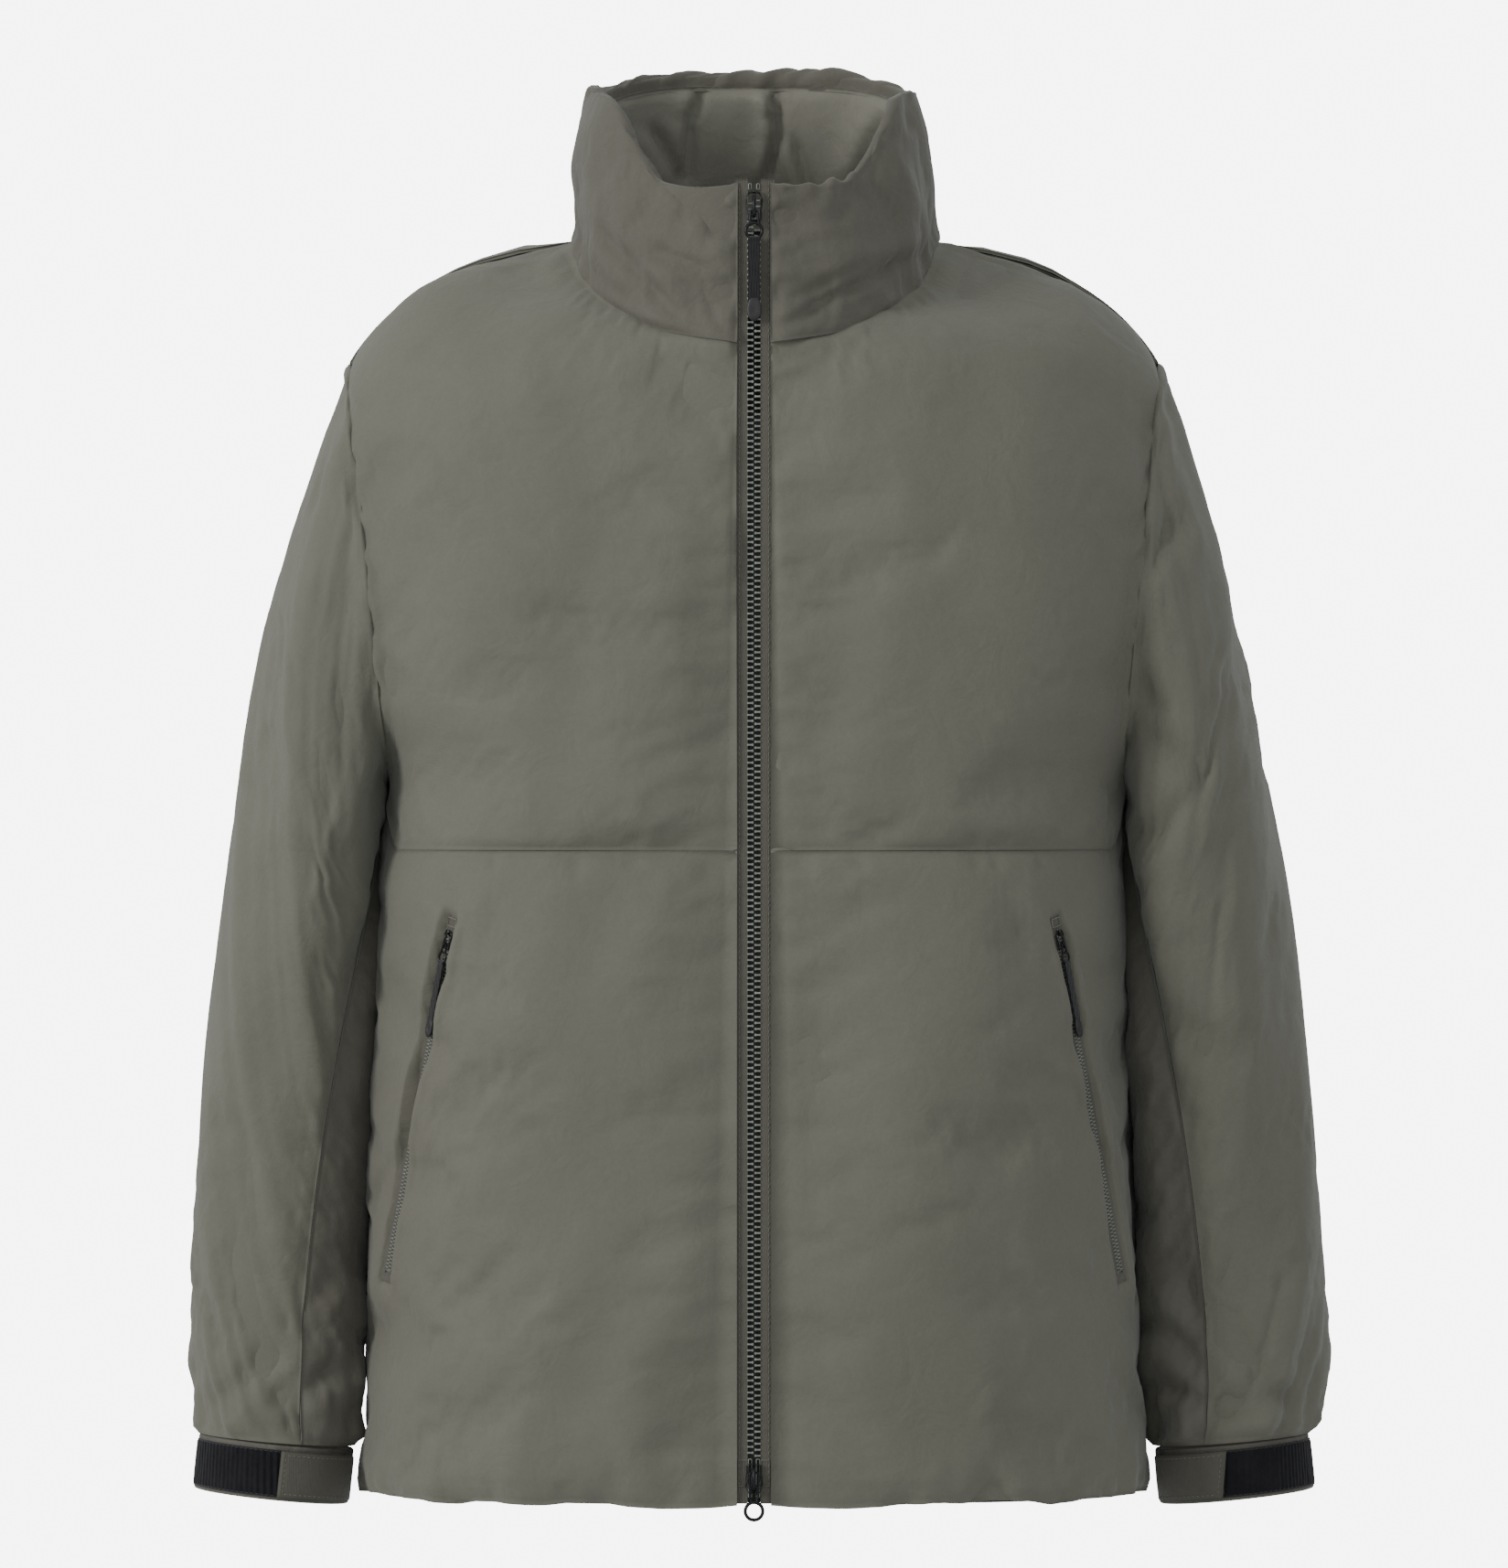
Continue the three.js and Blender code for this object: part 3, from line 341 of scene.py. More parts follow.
def sampled(g, u, v):
    """Values of a grid at shares u and v of it, along straight lines between its points."""
    n, m = g.shape[:2]
    x, y = np.clip(u * (n - 1), 0, n - 1.0001), np.clip(v * (m - 1), 0, m - 1.0001)
    i, j = x.astype(int), y.astype(int)
    fx, fy = x - i, y - j
    fx, fy = (fx * fx * (3 - 2 * fx))[..., None], (fy * fy * (3 - 2 * fy))[..., None]
    return mixed(mixed(g[i, j], g[i + 1, j], fx), mixed(g[i, j + 1], g[i + 1, j + 1], fx), fy)


def filled(outer, inner, seed, pressure, spare, cap, frames=14):
    """Cloth simulation of a closed pad whose back and edges stay put: how far its face moves, in mm."""
    n, m = outer.shape[:2]
    start = outer + np.random.default_rng(seed).normal(0, 0.12, outer.shape)
    start[[0, -1]], start[:, [0, -1]] = outer[[0, -1]], outer[:, [0, -1]]
    pad = outward(new_mesh("pad_in_filling", np.concatenate([start.reshape(-1, 3), inner.reshape(-1, 3)]) * MM,
                           shell_faces(n, m)))
    sewn = np.ones((n, m), bool)
    sewn[1:-1, 1:-1] = False
    pins = np.concatenate([np.flatnonzero(sewn), n * m + np.arange(n * m)])
    pad.vertex_groups.new(name="sewn").add(pins.tolist(), 1.0, "REPLACE")
    cloth = pad.modifiers.new("Cloth", "CLOTH")
    s = cloth.settings
    s.quality, s.mass, s.air_damping = 4, 0.15, 2.0
    s.tension_stiffness, s.compression_stiffness, s.shear_stiffness, s.bending_stiffness = 10.0, 10.0, 4.0, 0.6
    s.tension_damping = s.compression_damping = s.shear_damping = 8.0
    s.vertex_group_mass = "sewn"
    s.shrink_min = -spare
    s.use_pressure = True
    s.uniform_pressure_force = pressure
    s.effector_weights.gravity = 0.0
    cloth.collision_settings.use_collision = False
    cloth.collision_settings.use_self_collision = False
    cloth.point_cache.frame_start, cloth.point_cache.frame_end = 1, frames + 1
    scene = bpy.context.scene
    for f in range(1, frames + 1):
        scene.frame_set(f)
    data = pad.evaluated_get(bpy.context.evaluated_depsgraph_get()).data
    co = np.empty(len(data.vertices) * 3)
    data.vertices.foreach_get("co", co)
    step = co.reshape(-1, 3)[: n * m].reshape(n, m, 3) / MM - outer
    scene.frame_set(1)
    bpy.data.objects.remove(pad, do_unlink=True)
    step = np.nan_to_num(step)
    length = np.linalg.norm(step, axis=-1, keepdims=True)
    return step * np.minimum(1, cap / np.maximum(length, 1e-6))


def gathers(along, away, seed, height, pitch, reach):
    """Ridges square to a seam: random heights along it, dying away with the distance from it."""
    ridge = noise(along / pitch, away / (reach * 2.5) + 3, seed) + 0.5 * noise(along / pitch * 2.1, away / reach,
        seed + 1)
    return height * ridge * np.exp(-away / reach) * smooth(0, 5, away)


class Panel:
    """A made-up piece of cloth: its outer grid and normals, for the stitches and trims that lie on it."""

    def __init__(self, obj, outer, normals):
        self.obj, self.outer, self.normals = obj, outer, normals

    def at(self, u, v):
        n = sampled(self.normals, u, v)
        return sampled(self.outer, u, v), n / np.linalg.norm(n, axis=-1, keepdims=True)


def padded_panel(name, face, us, vs, thickness, centre, body, replaced, seed, side=1, fill=(1.0, 0.012, 4.0),
                 seams=((1, 1),) * 4, relief=None, coarse=(44, 48), tight=0.5, slot=None, eased=0):
    """A pad on the grid us by vs of a face: simulated filling, dips and gathers at its seams, and folds.

    fill is the simulation's pressure, spare cloth and cap in mm; seams gives a dip in mm and a strength of
    gathers for each edge; relief(points, distances) adds the piece's own folds, in mm along the normal."""
    cu, cv = np.meshgrid(np.linspace(0, 1, coarse[0]), np.linspace(0, 1, coarse[1]), indexing="ij")
    (u0, u1), (v0, v1) = (us.min(), us.max()), (vs.min(), vs.max())
    rough = face(mixed(u0, u1, cu), mixed(v0, v1, cv))
    away = normals_of(rough, centre)
    depth = thickness(mixed(u0, u1, cu), mixed(v0, v1, cv))
    moved = filled(rough, rough - away * depth[..., None], seed, *fill)
    base = face(us, vs)
    for _ in range(eased):
        base[:, 1:-1] = (base[:, :-2] + 2 * base[:, 1:-1] + base[:, 2:]) / 4
    normals = normals_of(base, centre)
    inner = base - normals * thickness(us, vs)[..., None]
    outer = base + sampled(moved, (us - u0) / (u1 - u0), (vs - v0) / (v1 - v0))
    edges = edge_distances(base)
    along = (edges[2], edges[2], edges[0], edges[0])
    lift = np.zeros(base.shape[:2])
    for k, ((dip, strength), near) in enumerate(zip(seams, edges)):
        lift -= dip * np.exp(-near / 3.2)
        if strength:
            lift += gathers(along[k], near, seed + 10 * k, 0.9 * strength, 11.0, 13.0)
            lift += gathers(along[k], near, seed + 10 * k + 5, 1.2 * strength, 27.0, 26.0)
    if relief is not None:
        lift += relief(base, edges)
    outer = outer + normals * lift[..., None]
    if slot is not None:
        outer = slot(outer)
    flip = np.array([side, 1, 1])
    outer, inner = outer * flip, inner * flip
    uv = np.stack([edges[0], edges[2]], -1).reshape(-1, 2) * MM
    points = np.concatenate([outer.reshape(-1, 3), inner.reshape(-1, 3)]) * MM
    obj = outward(new_mesh(name, points, shell_faces(*base.shape[:2]), np.concatenate([uv, uv])))
    if body:
        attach(obj, body)
    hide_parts(*replaced)
    return Panel(obj, outer, normals_of(outer, centre * flip))


def even(n, m, v0=0.0, v1=1.0):
    """An even grid of n by m places: u over 0 to 1, v from v0 to v1."""
    return np.meshgrid(np.linspace(0, 1, n), np.linspace(v0, v1, m), indexing="ij")


def srgb(r, g, b):
    """A colour given as eight-bit display values, in linear light."""
    c = np.array([r, g, b]) / 255.0
    return tuple(np.where(c <= 0.04045, c / 12.92, ((c + 0.055) / 1.055) ** 2.4))


def weave_group():
    """Plain weave: two crossed sine waves for the threads, a fine mottle, creases and a broad drift of tone."""
    g = bpy.data.node_groups.new("plain_weave", "ShaderNodeTree")
    for name, kind in (("Thread place", "NodeSocketVector"), ("Place", "NodeSocketVector"),
                       ("Threads", "NodeSocketFloat"), ("Creases", "NodeSocketFloat")):
        g.interface.new_socket(name, in_out="INPUT", socket_type=kind)
    for name in ("Thread height", "Crease height", "Mottle", "Drift"):
        g.interface.new_socket(name, in_out="OUTPUT", socket_type="NodeSocketFloat")
    come, leave = g.nodes.new("NodeGroupInput"), g.nodes.new("NodeGroupOutput")
    scaled = node_of(g, "ShaderNodeVectorMath", operation="SCALE")
    g.links.new(come.outputs["Thread place"], scaled.inputs[0])
    g.links.new(come.outputs["Threads"], scaled.inputs["Scale"])
    parts = g.nodes.new("ShaderNodeSeparateXYZ")
    g.links.new(scaled.outputs[0], parts.inputs[0])
    product = node_of(g, "ShaderNodeMath", operation="MULTIPLY")
    for k, axis in enumerate("XY"):
        wave = node_of(g, "ShaderNodeMath", operation="SINE")
        g.links.new(parts.outputs[axis], wave.inputs[0])
        g.links.new(wave.outputs[0], product.inputs[k])
    g.links.new(product.outputs[0], leave.inputs["Thread height"])
    crease = node_of(g, "ShaderNodeTexNoise", {"Detail": 5.0, "Roughness": 0.55, "Distortion": 0.7})
    g.links.new(come.outputs["Creases"], crease.inputs["Scale"])
    for out, scale, detail in (("Mottle", 420.0, 3.0), ("Drift", 7.0, 3.0)):
        spread = node_of(g, "ShaderNodeTexNoise", {"Scale": scale, "Detail": detail, "Roughness": 0.6})
        g.links.new(come.outputs["Place"], spread.inputs["Vector"])
        g.links.new(spread.outputs[0], leave.inputs[out])
    g.links.new(come.outputs["Place"], crease.inputs["Vector"])
    g.links.new(crease.outputs[0], leave.inputs["Crease height"])
    return g


WEAVE = weave_group()


def cloth(name, colour, other, roughness=0.72, threads=9000.0, thread=0.00005, creases=(45.0, 0.0012), sheen=0.2,
          place="UV", mottle=0.3):
    """Woven cloth: two tints mixed by the mottle and the drift, with threads and creases as relief."""
    mat, shader = principled(name, colour, roughness, 0, 0.35)
    tree = mat.node_tree
    coords = tree.nodes.new("ShaderNodeTexCoord")
    weave = tree.nodes.new("ShaderNodeGroup")
    weave.node_tree = WEAVE
    weave.inputs["Threads"].default_value = threads
    weave.inputs["Creases"].default_value = creases[0]
    tree.links.new(coords.outputs[place], weave.inputs["Thread place"])
    tree.links.new(coords.outputs["Object"], weave.inputs["Place"])
    grain = node_of(tree, "ShaderNodeMath", {1: 2 * mottle, 2: -mottle}, operation="MULTIPLY_ADD")
    share = node_of(tree, "ShaderNodeMath", operation="ADD")
    tint = node_of(tree, "ShaderNodeMix", {6: (*colour, 1), 7: (*other, 1)}, data_type="RGBA")
    tree.links.new(weave.outputs["Mottle"], grain.inputs[0])
    tree.links.new(grain.outputs[0], share.inputs[0])
    tree.links.new(weave.outputs["Drift"], share.inputs[1])
    tree.links.new(share.outputs[0], tint.inputs[0])
    tree.links.new(tint.outputs[2], shader.inputs["Base Color"])
    gloss = node_of(tree, "ShaderNodeMapRange", {1: 0.3, 2: 0.7, 3: roughness - 0.07, 4: roughness + 0.07})
    tree.links.new(weave.outputs["Crease height"], gloss.inputs[0])
    tree.links.new(gloss.outputs[0], shader.inputs["Roughness"])
    crease = node_of(tree, "ShaderNodeBump", {"Strength": 1.0, "Distance": creases[1]})
    threads_bump = node_of(tree, "ShaderNodeBump", {"Strength": 0.6, "Distance": thread})
    tree.links.new(weave.outputs["Crease height"], crease.inputs["Height"])
    tree.links.new(weave.outputs["Thread height"], threads_bump.inputs["Height"])
    tree.links.new(crease.outputs[0], threads_bump.inputs["Normal"])
    tree.links.new(threads_bump.outputs[0], shader.inputs["Normal"])
    shader.inputs["Sheen Weight"].default_value = sheen
    shader.inputs["Sheen Roughness"].default_value = 0.45
    return mat


def made_of(obj, material):
    """Gives an object one material, in place of any it has."""
    obj.data.materials.clear()
    obj.data.materials.append(material)
    return obj


SHELL = cloth("shell_nylon", srgb(105, 106, 95), srgb(95, 93, 81))


def chest_relief(seed):
    """Broad upright drapes, a soft drag from the neck toward the arm, and creases beside the armhole."""
    def relief(p, near):
        x, z = p[..., 0], p[..., 2]
        drape = 4.4 * noise(x / 58 + z / 300, z / 210, seed) + 1.5 * noise(x / 27 - z / 160, z / 120, seed + 1)
        drag = 3.0 * noise((x + 0.9 * z) / 60, (x - z) / 160, seed + 2) * smooth(-230, -120, z)
        arm = 4.2 * noise(z / 46 + x / 90, x / 50, seed + 3) * np.exp(-near[1] / 26)
        return (drape + drag + arm) * smooth(0, 34, np.minimum(near[0], near[2])) * smooth(0, 16, near[3]) * smooth(0,
            14, near[1])
    return relief


def pocket_axes():
    """Middle, sideways, inward and upward directions of the left pocket zip."""
    def point(x, z):
        return np.array([x, -float(depth_at(np.float64(x), np.float64(z), True)) - 2.5, z])

    top, low = point(*POCKET_TOP), point(*POCKET_LOW)
    middle, up = (top + low) / 2, (top - low) / np.linalg.norm(top - low)
    out = np.cross(point(middle[0] + 4, middle[2]) - point(middle[0] - 4, middle[2]), up)
    out /= np.linalg.norm(out)
    inward = -out if out @ middle > 0 else out
    return middle + inward * 0.9, np.cross(inward, up), inward, up


POCKET = pocket_axes()


def pocket_line(z):
    """Half width of the pocket zip at a height."""
    return mixed(POCKET_TOP[0], POCKET_LOW[0], (z - POCKET_TOP[1]) / (POCKET_LOW[1] - POCKET_TOP[1]))


def pocket_slot(p):
    """Sinks the cloth behind the zip's tape between the lips, and turns it in over a few millimetres."""
    local = np.stack([(p - POCKET[0]) @ axis for axis in POCKET[1:]], -1)
    across, along = np.abs(local[..., 0]), np.abs(local[..., 2])
    share = smooth(5.4, 3.9, across) * smooth(104.5, 101.5, along)
    swell = 1.3 * np.exp(-((across - 7.5) / 3.0) ** 2) * smooth(112, 96, along)
    proud = smooth(26, 8, across) * smooth(128, 104, along)
    out = mixed(local[..., 1], np.minimum(local[..., 1], -1.0), proud)
    level = mixed(out - swell, 0.75 + 0 * out, share)
    return p + (level - local[..., 1])[..., None] * POCKET[2]


def lower_relief(seed):
    """Slanting drapes, gathers at the hem, a ridge that stands out along the pocket, and its slot."""
    def relief(p, near):
        x, z = p[..., 0], p[..., 2]
        drape = 4.6 * noise((x - 0.25 * z) / 70, z / 230, seed) + 1.7 * noise((x + 0.3 * z) / 32, z / 120, seed + 1)
        drape += 3.0 * noise((x + 0.8 * z) / 70, (x - z) / 150, seed + 4) * smooth(-470, -600, z)
        hem = 4.6 * noise(near[0] / 17, near[3] / 60, seed + 3) * np.exp(-near[3] / 34) * smooth(0, 12, near[0])
        hem += 1.5 * noise(near[0] / 8, near[3] / 20, seed + 6) * np.exp(-near[3] / 13) * smooth(0, 12, near[0])
        side = 3.2 * smooth(26, 4, near[1]) * smooth(-645, -610, p[..., 2])
        hem = hem * smooth(4, 36, near[1])
        return drape * smooth(0, 30, near[2]) * smooth(0, 26, near[0]) * smooth(0, 16, near[1]) + hem + side
    return relief


def columns_by_pocket(n, m):
    """A grid of the lower front whose columns lie close together beside the pocket's line."""
    t, w = np.meshgrid(np.linspace(0, 1, n), np.linspace(1, 2, m), indexing="ij")
    middle = np.zeros(m)
    probe = np.linspace(0.3, 1, 400)
    for j, row in enumerate(w[0]):
        p = front_face(probe, np.full(400, row))
        middle[j] = probe[np.argmin(np.abs(p[:, 0] - pocket_line(np.clip(p[:, 2], POCKET_LOW[1], POCKET_TOP[1]))))]
    share = 0.72
    centre = middle[None, :]
    before = centre * (1 - np.maximum(1 - t / share, 0) ** 1.7)
    after = centre + (1 - centre) * np.maximum((t - share) / (1 - share), 0) ** 1.7
    return np.where(t < share, before, after), w


panels = {}
for name, side in SIDES:
    panels["chest_" + name] = padded_panel(
        f"chest_panel_{name}_cloth", front_face, *even(104, 112), lambda u,
            w: EDGE + PAD * np.sin(math.pi * u) * bump(w),
        BODY_CENTRE, "jacket", [f"chest_panel_{name}"], 100 if side > 0 else 160, side,
        seams=((1.4, 1.8), (0.5, 1.2), (0.4, 1.0), (0.8, 0.5)), relief=chest_relief(21 + side), eased=40)
    made_of(panels["chest_" + name].obj, SHELL)
    panels["lower_" + name] = padded_panel(
        f"lower_front_{name}_cloth", lambda u, w: gathered_hem(front_face(u, w)), *columns_by_pocket(124, 112),
        lambda u, w: EDGE + PAD * np.sin(math.pi * u) * bump(w - 1), BODY_CENTRE, "jacket", [f"lower_front_{name}"],
        200 if side > 0 else 260, side, seams=((1.4, 1.8), (0, 0.4), (0.8, 0.5), (0.8, 0)),
        relief=lower_relief(31 + side), slot=pocket_slot)
    made_of(panels["lower_" + name].obj, SHELL)

# ---------------------------------------------------------------------------------------------------
# Back
# One padded panel from the neck to the hem and from side seam to side seam, in the same nylon.
# ---------------------------------------------------------------------------------------------------


def back_face(u, v):
    """Back: u from the left side seam to the right one, v from the neck to the hem."""
    x0, y0, z0 = neck(mixed(math.pi / 2, 1.5 * math.pi, u))
    z = mixed(z0, HEM_Z, v)
    at_neck = np.arctan2(y0 / back_depth(z0), x0 / half_width(z0)) / math.pi
    share = np.clip(mixed(at_neck, u, smooth(0, 0.25, v)), 0, 1)
    side = ring_angle(side_x(z), z)
    angle = mixed(side, math.pi - side, share)
    c, e = np.cos(angle), squareness(z)
    return np.stack([half_width(z) * np.sign(c) * np.abs(c) ** e,
                     np.maximum(back_depth(z) * np.maximum(np.sin(angle), 0) ** e, 0.15), z], -1)


def back_relief(p, near):
    """Broad upright drapes, drags below the neck and gathers at the hem."""
    x, z = p[..., 0], p[..., 2]
    drape = 4.6 * noise(x / 70, z / 260, 51) + 1.7 * noise(x / 32 + z / 200, z / 120, 52)
    neck_drag = 2.6 * noise(x / 24, z / 90, 53) * np.exp(-near[2] / 60)
    hem = 4.6 * noise(near[0] / 17, near[3] / 60, 54) * np.exp(-near[3] / 34) + 1.5 * noise(near[0] / 8, near[3] / 20,
        55) * np.exp(-near[3] / 13)
    away = np.minimum(near[0], near[1])
    side = 3.2 * smooth(26, 4, away) * smooth(-300, -330, z) * smooth(-645, -610, z)
    hem = hem * smooth(4, 36, away)
    return (drape + neck_drag) * smooth(0, 30, away) * smooth(0, 24, near[2]) + hem * smooth(0, 12, away) + side


def back_thick(u, v):
    return EDGE + PAD * bump(u) * bump(v)


panels["back"] = padded_panel("back_panel_cloth", lambda u, v: gathered_hem(back_face(u, v)), *even(150, 124),
    back_thick, BODY_CENTRE, "jacket",
                              ["back_panel"], 300, seams=((0.3, 0.8), (0.3, 0.8), (0.4, 1), (0.8, 0)),
                              relief=back_relief, coarse=(56, 52))
made_of(panels["back"].obj, SHELL)

# ---------------------------------------------------------------------------------------------------
# Collar
# A padded stand collar, zip to zip. The outer cloth rolls over the rim and is sewn to an inner cloth
# just inside it. Both crumple into deep upright folds, because the collar is stiffly filled.
# ---------------------------------------------------------------------------------------------------
RIM_HALF, RIM_BACK, RIM_BACK_Z, ROLL, LIP = 90.0, 72.0, 94.0, 3.6, 7.0
rim_front = curve([(0, 27), (30, 24.5), (50, 28), (62, 42), (81, 76), (RIM_HALF, 82)])
COLLAR_CENTRE = np.array([0, -12, 20.0])


def collar_angle(u):
    return np.where(u < 1, mixed(NECK_START, math.pi / 2, u),
                    np.where(u < 2, math.pi / 2 * (1 + 2 * (u - 1)),
                    mixed(1.5 * math.pi, 2 * math.pi - NECK_START, u - 2)))


def collar_wall(u, v):
    """Outer wall: u from the left zip edge (0) over the shoulders (1, 2) to the right edge (3), v upward."""
    angle = collar_angle(u)
    x0, y0, z0 = neck(angle)
    s, c = np.sin(angle), np.cos(angle)
    x = RIM_HALF * s
    top = np.where(c > 0, rim_front(np.abs(x)), RIM_BACK_Z + 2 - (RIM_BACK_Z - 80) * s**4)
    z = mixed(z0 + 0.6, top, v)
    y = np.where(c > 0, -(zip_depth(z) + ZIP_SETBACK) * c, mixed(y0, -RIM_BACK * c, v))
    return np.stack([mixed(x0, x, v), y, z], -1)


def flat_normals(u, v):
    """Level normals of the collar's wall, outward."""
    e = 1e-3
    step = collar_wall(np.minimum(u + e, 3), v) - collar_wall(np.maximum(u - e, 0), v)
    n = np.stack([-step[..., 1], step[..., 0], 0 * step[..., 0]], -1)
    n /= np.linalg.norm(n, axis=-1, keepdims=True)
    return np.where(np.sum(n * (collar_wall(u, v) - COLLAR_CENTRE) * [1, 1, 0], -1, keepdims=True) < 0, -n, n)


def collar_face(u, w):
    """The wall for w up to 1, a half circle over the rim to 2, then a short lip down inside to 3."""
    v = np.minimum(w, 1)
    n = flat_normals(u, v)
    p = collar_wall(u, v)
    belly = 5.0 * np.sin(math.pi * v) ** 0.8 * smooth(0, 0.3, u) * smooth(3, 2.7, u)
    p = p + n * belly[..., None]
    p[..., 2] -= ROLL * smooth(0.4, 1, w)
    turn = math.pi * np.clip(w - 1, 0, 1)
    p = p - n * (ROLL * (1 - np.cos(turn)))[..., None]
    p[..., 2] += ROLL * np.sin(turn) - LIP * np.clip(w - 2, 0, 1)
    p[..., 0] = np.where(u == 0, ZIP_EDGE, np.where(u == 3, -ZIP_EDGE, p[..., 0]))
    return p


def creases(x, z, lines):
    """Folds along given lines: a valley at each line and a swell beside it; rows of x, z, x, z, depth, width."""
    out = np.zeros_like(x)
    for x0, z0, x1, z1, depth, width in lines:
        dx, dz = x1 - x0, z1 - z0
        long = math.hypot(dx, dz)
        t = ((x - x0) * dx + (z - z0) * dz) / long**2
        off = ((x - x0) * dz - (z - z0) * dx) / long
        ends = smooth(-0.12, 0.25, t) * smooth(1.12, 0.75, t)
        out += ends * depth * (-np.exp(-(off / width) ** 2) + 0.55 * np.exp(-((off - 2.3 * width) / (1.7 * width)) ** 2))
    return out


def collar_relief(p, near):
    """Drags from the zip and the neck seam, puckers along the rim, and the longest folds set one by one."""
    x, z = p[..., 0], p[..., 2]
    front = smooth(10, -10, p[..., 1])
    lump = 2.6 * noise(near[0] / 34, z / 60, 61) + 1.5 * noise(near[0] / 16 + z / 40, z / 30, 62)
    zip_pull = gathers(near[2], np.minimum(near[0], near[1]), 63, 3.8, 13.0, 28.0)
    seam_pull = gathers(near[0], near[2], 64, 3.0, 12.0, 18.0)
    rim = 1.7 * noise(near[0] / 7, z / 25, 65) * np.exp(-np.maximum(near[3] - 14, 0) / 7)
    over_seam = 3.0 * smooth(12, 0, near[2])
    folds = front * creases(x, z, [
        (-88, 5, -36, -51, 3.4, 4), (-46, 30, -34, 16, 3, 4), (-20, 26, -22, -5, 2.8, 4), (-60, -10, -28, -20, 2, 5),
        (90, -10, 14, -53, 4.2, 4), (68, -14, 13, -42, 3, 4), (52, 26, 46, 2, 2, 5), (84, 78, 85, 54, 2.6, 3.5),
        (-70, 60, -84, 24, 1.6, 6)])
    return (lump * smooth(0, 14, np.minimum(near[0], near[1])) * smooth(0, 9,
        near[2]) + zip_pull + seam_pull + rim + folds) * smooth(0, 5, near[3]) + over_seam


rows = np.concatenate([np.linspace(0, 1, 44)[:-1], np.linspace(1, 2, 11)[:-1], np.linspace(2, 3, 6)])
collar_u = np.linspace(0, 3, 300)


def collar_thick(u, w):
    ends = smooth(0, 0.4, u) * smooth(3, 2.6, u)
    return np.where(w > 1, 1.4, mixed(EDGE, 5.0, ends) * smooth(1.02, 0.8, w) + 1.4 * smooth(0.8, 1.02, w))


COLLAR = cloth("collar_nylon", srgb(94, 93, 83), srgb(80, 78, 68), creases=(60.0, 0.0012))
panels["collar"] = padded_panel(
    "collar_shell_cloth", lambda u, w: collar_face(u, w) - 2.5 * smooth(0.25, 0, w)[..., None] * np.array([0, 0, 1]),
        *np.meshgrid(collar_u, rows, indexing="ij"), collar_thick, COLLAR_CENTRE,
    "jacket", ["collar_shell"], 400, fill=(0.8, 0.01, 3.0), seams=((1.0, 0), (1.0, 0), (0.3, 0.6), (0, 0)),
    relief=collar_relief, coarse=(120, 30), tight=0.7)
made_of(panels["collar"].obj, COLLAR)


def inside_collar(u, v):
    """Inner cloth, from the neck seam up to the lip, set in by the padding."""
    n = flat_normals(u, v)
    p = collar_wall(u, v) - n * mixed(6.4, 2 * ROLL - 0.4, v)[..., None]
    p[..., 2] -= (ROLL + LIP - 2.5) * smooth(0.5, 1, v)
    return p


def inside_relief(p, near):
    """Pads between deep upright creases; the creases at the back are set one by one."""
    x, z = p[..., 0], p[..., 2]
    pads = 3.2 * np.abs(noise(near[0] / 30, z / 200, 71)) + 1.8 * noise(near[0] / 17 + z / 60, z / 60, 72)
    back = smooth(0, 20, p[..., 1]) * creases(x, z, [
        (12, 90, 13, 62, 5.5, 2.6), (15, 66, 7, 34, 5.5, 2.6), (4, 90, 13, 76, 3, 2.2), (-27, 92, -35, 68, 3.6, 3),
        (-35, 70, -37, 34, 4.5, 3.5), (-57, 66, -40, 32, 4, 4), (22, 60, 33, 24, 4.5, 3), (74, 70, 56, 30, 4.5, 4)])
    return (0.6 + pads + back) * smooth(0, 9, near[2]) * smooth(0, 7, near[3])


# The inner collar's two tints are set lighter than the shell's: painted light that stands in for the light reaching
# inside the collar.
COLLAR_INSIDE_PAINTED_LIGHT = cloth("collar_inner_nylon_painted_light", srgb(122, 122, 111), srgb(106, 104, 93), 0.66, creases=(60.0, 0.001))
lining_u, lining_v = np.meshgrid(np.linspace(0.05, 2.95, 280), np.linspace(0, 1, 46), indexing="ij")
inner_base = inside_collar(lining_u, lining_v)
inner_normals = -normals_of(inner_base, COLLAR_CENTRE)
near = edge_distances(inner_base)
inner_face = inner_base + inner_normals * inside_relief(inner_base, near)[..., None]
points = np.concatenate([inner_face.reshape(-1, 3), (inner_base - inner_normals * 1.2).reshape(-1, 3)]) * MM
uv = np.stack([near[0], near[2]], -1).reshape(-1, 2) * MM
inner = outward(new_mesh("collar_lining_cloth", points, shell_faces(280, 46), np.concatenate([uv, uv])))
made_of(inner, COLLAR_INSIDE_PAINTED_LIGHT)
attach(inner, "jacket")
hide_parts("collar_lining")

# ---------------------------------------------------------------------------------------------------
# Linings, pocket bags, wind flap, hem elastic and hanger loop
# Thin nylon hangs behind the padding from the neck to the hem. The bags hang between the two. The
# elastic is sewn round the inside of the hem, the flap along the left lining, the loop at the neck.
# ---------------------------------------------------------------------------------------------------
LINING_GAP = 1.6 + 0.6
LINING = cloth("lining_nylon", srgb(72, 73, 66), srgb(62, 62, 55), 0.5, creases=(40.0, 0.0009), sheen=0.1)


def thin_cloth(name, p, normals, thick, body, replaced, material):
    """A sheet on a grid of points with its back a little behind it, its UV map laid out by arc lengths along the grid.
    """
    near = edge_distances(p)
    uv = np.stack([near[0], near[2]], -1).reshape(-1, 2) * MM
    points = np.concatenate([p.reshape(-1, 3), (p - normals * thick).reshape(-1, 3)]) * MM
    obj = outward(new_mesh(name, points, shell_faces(*p.shape[:2]), np.concatenate([uv, uv])))
    made_of(obj, material)
    if body:
        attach(obj, body)
    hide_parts(*replaced)
    return obj


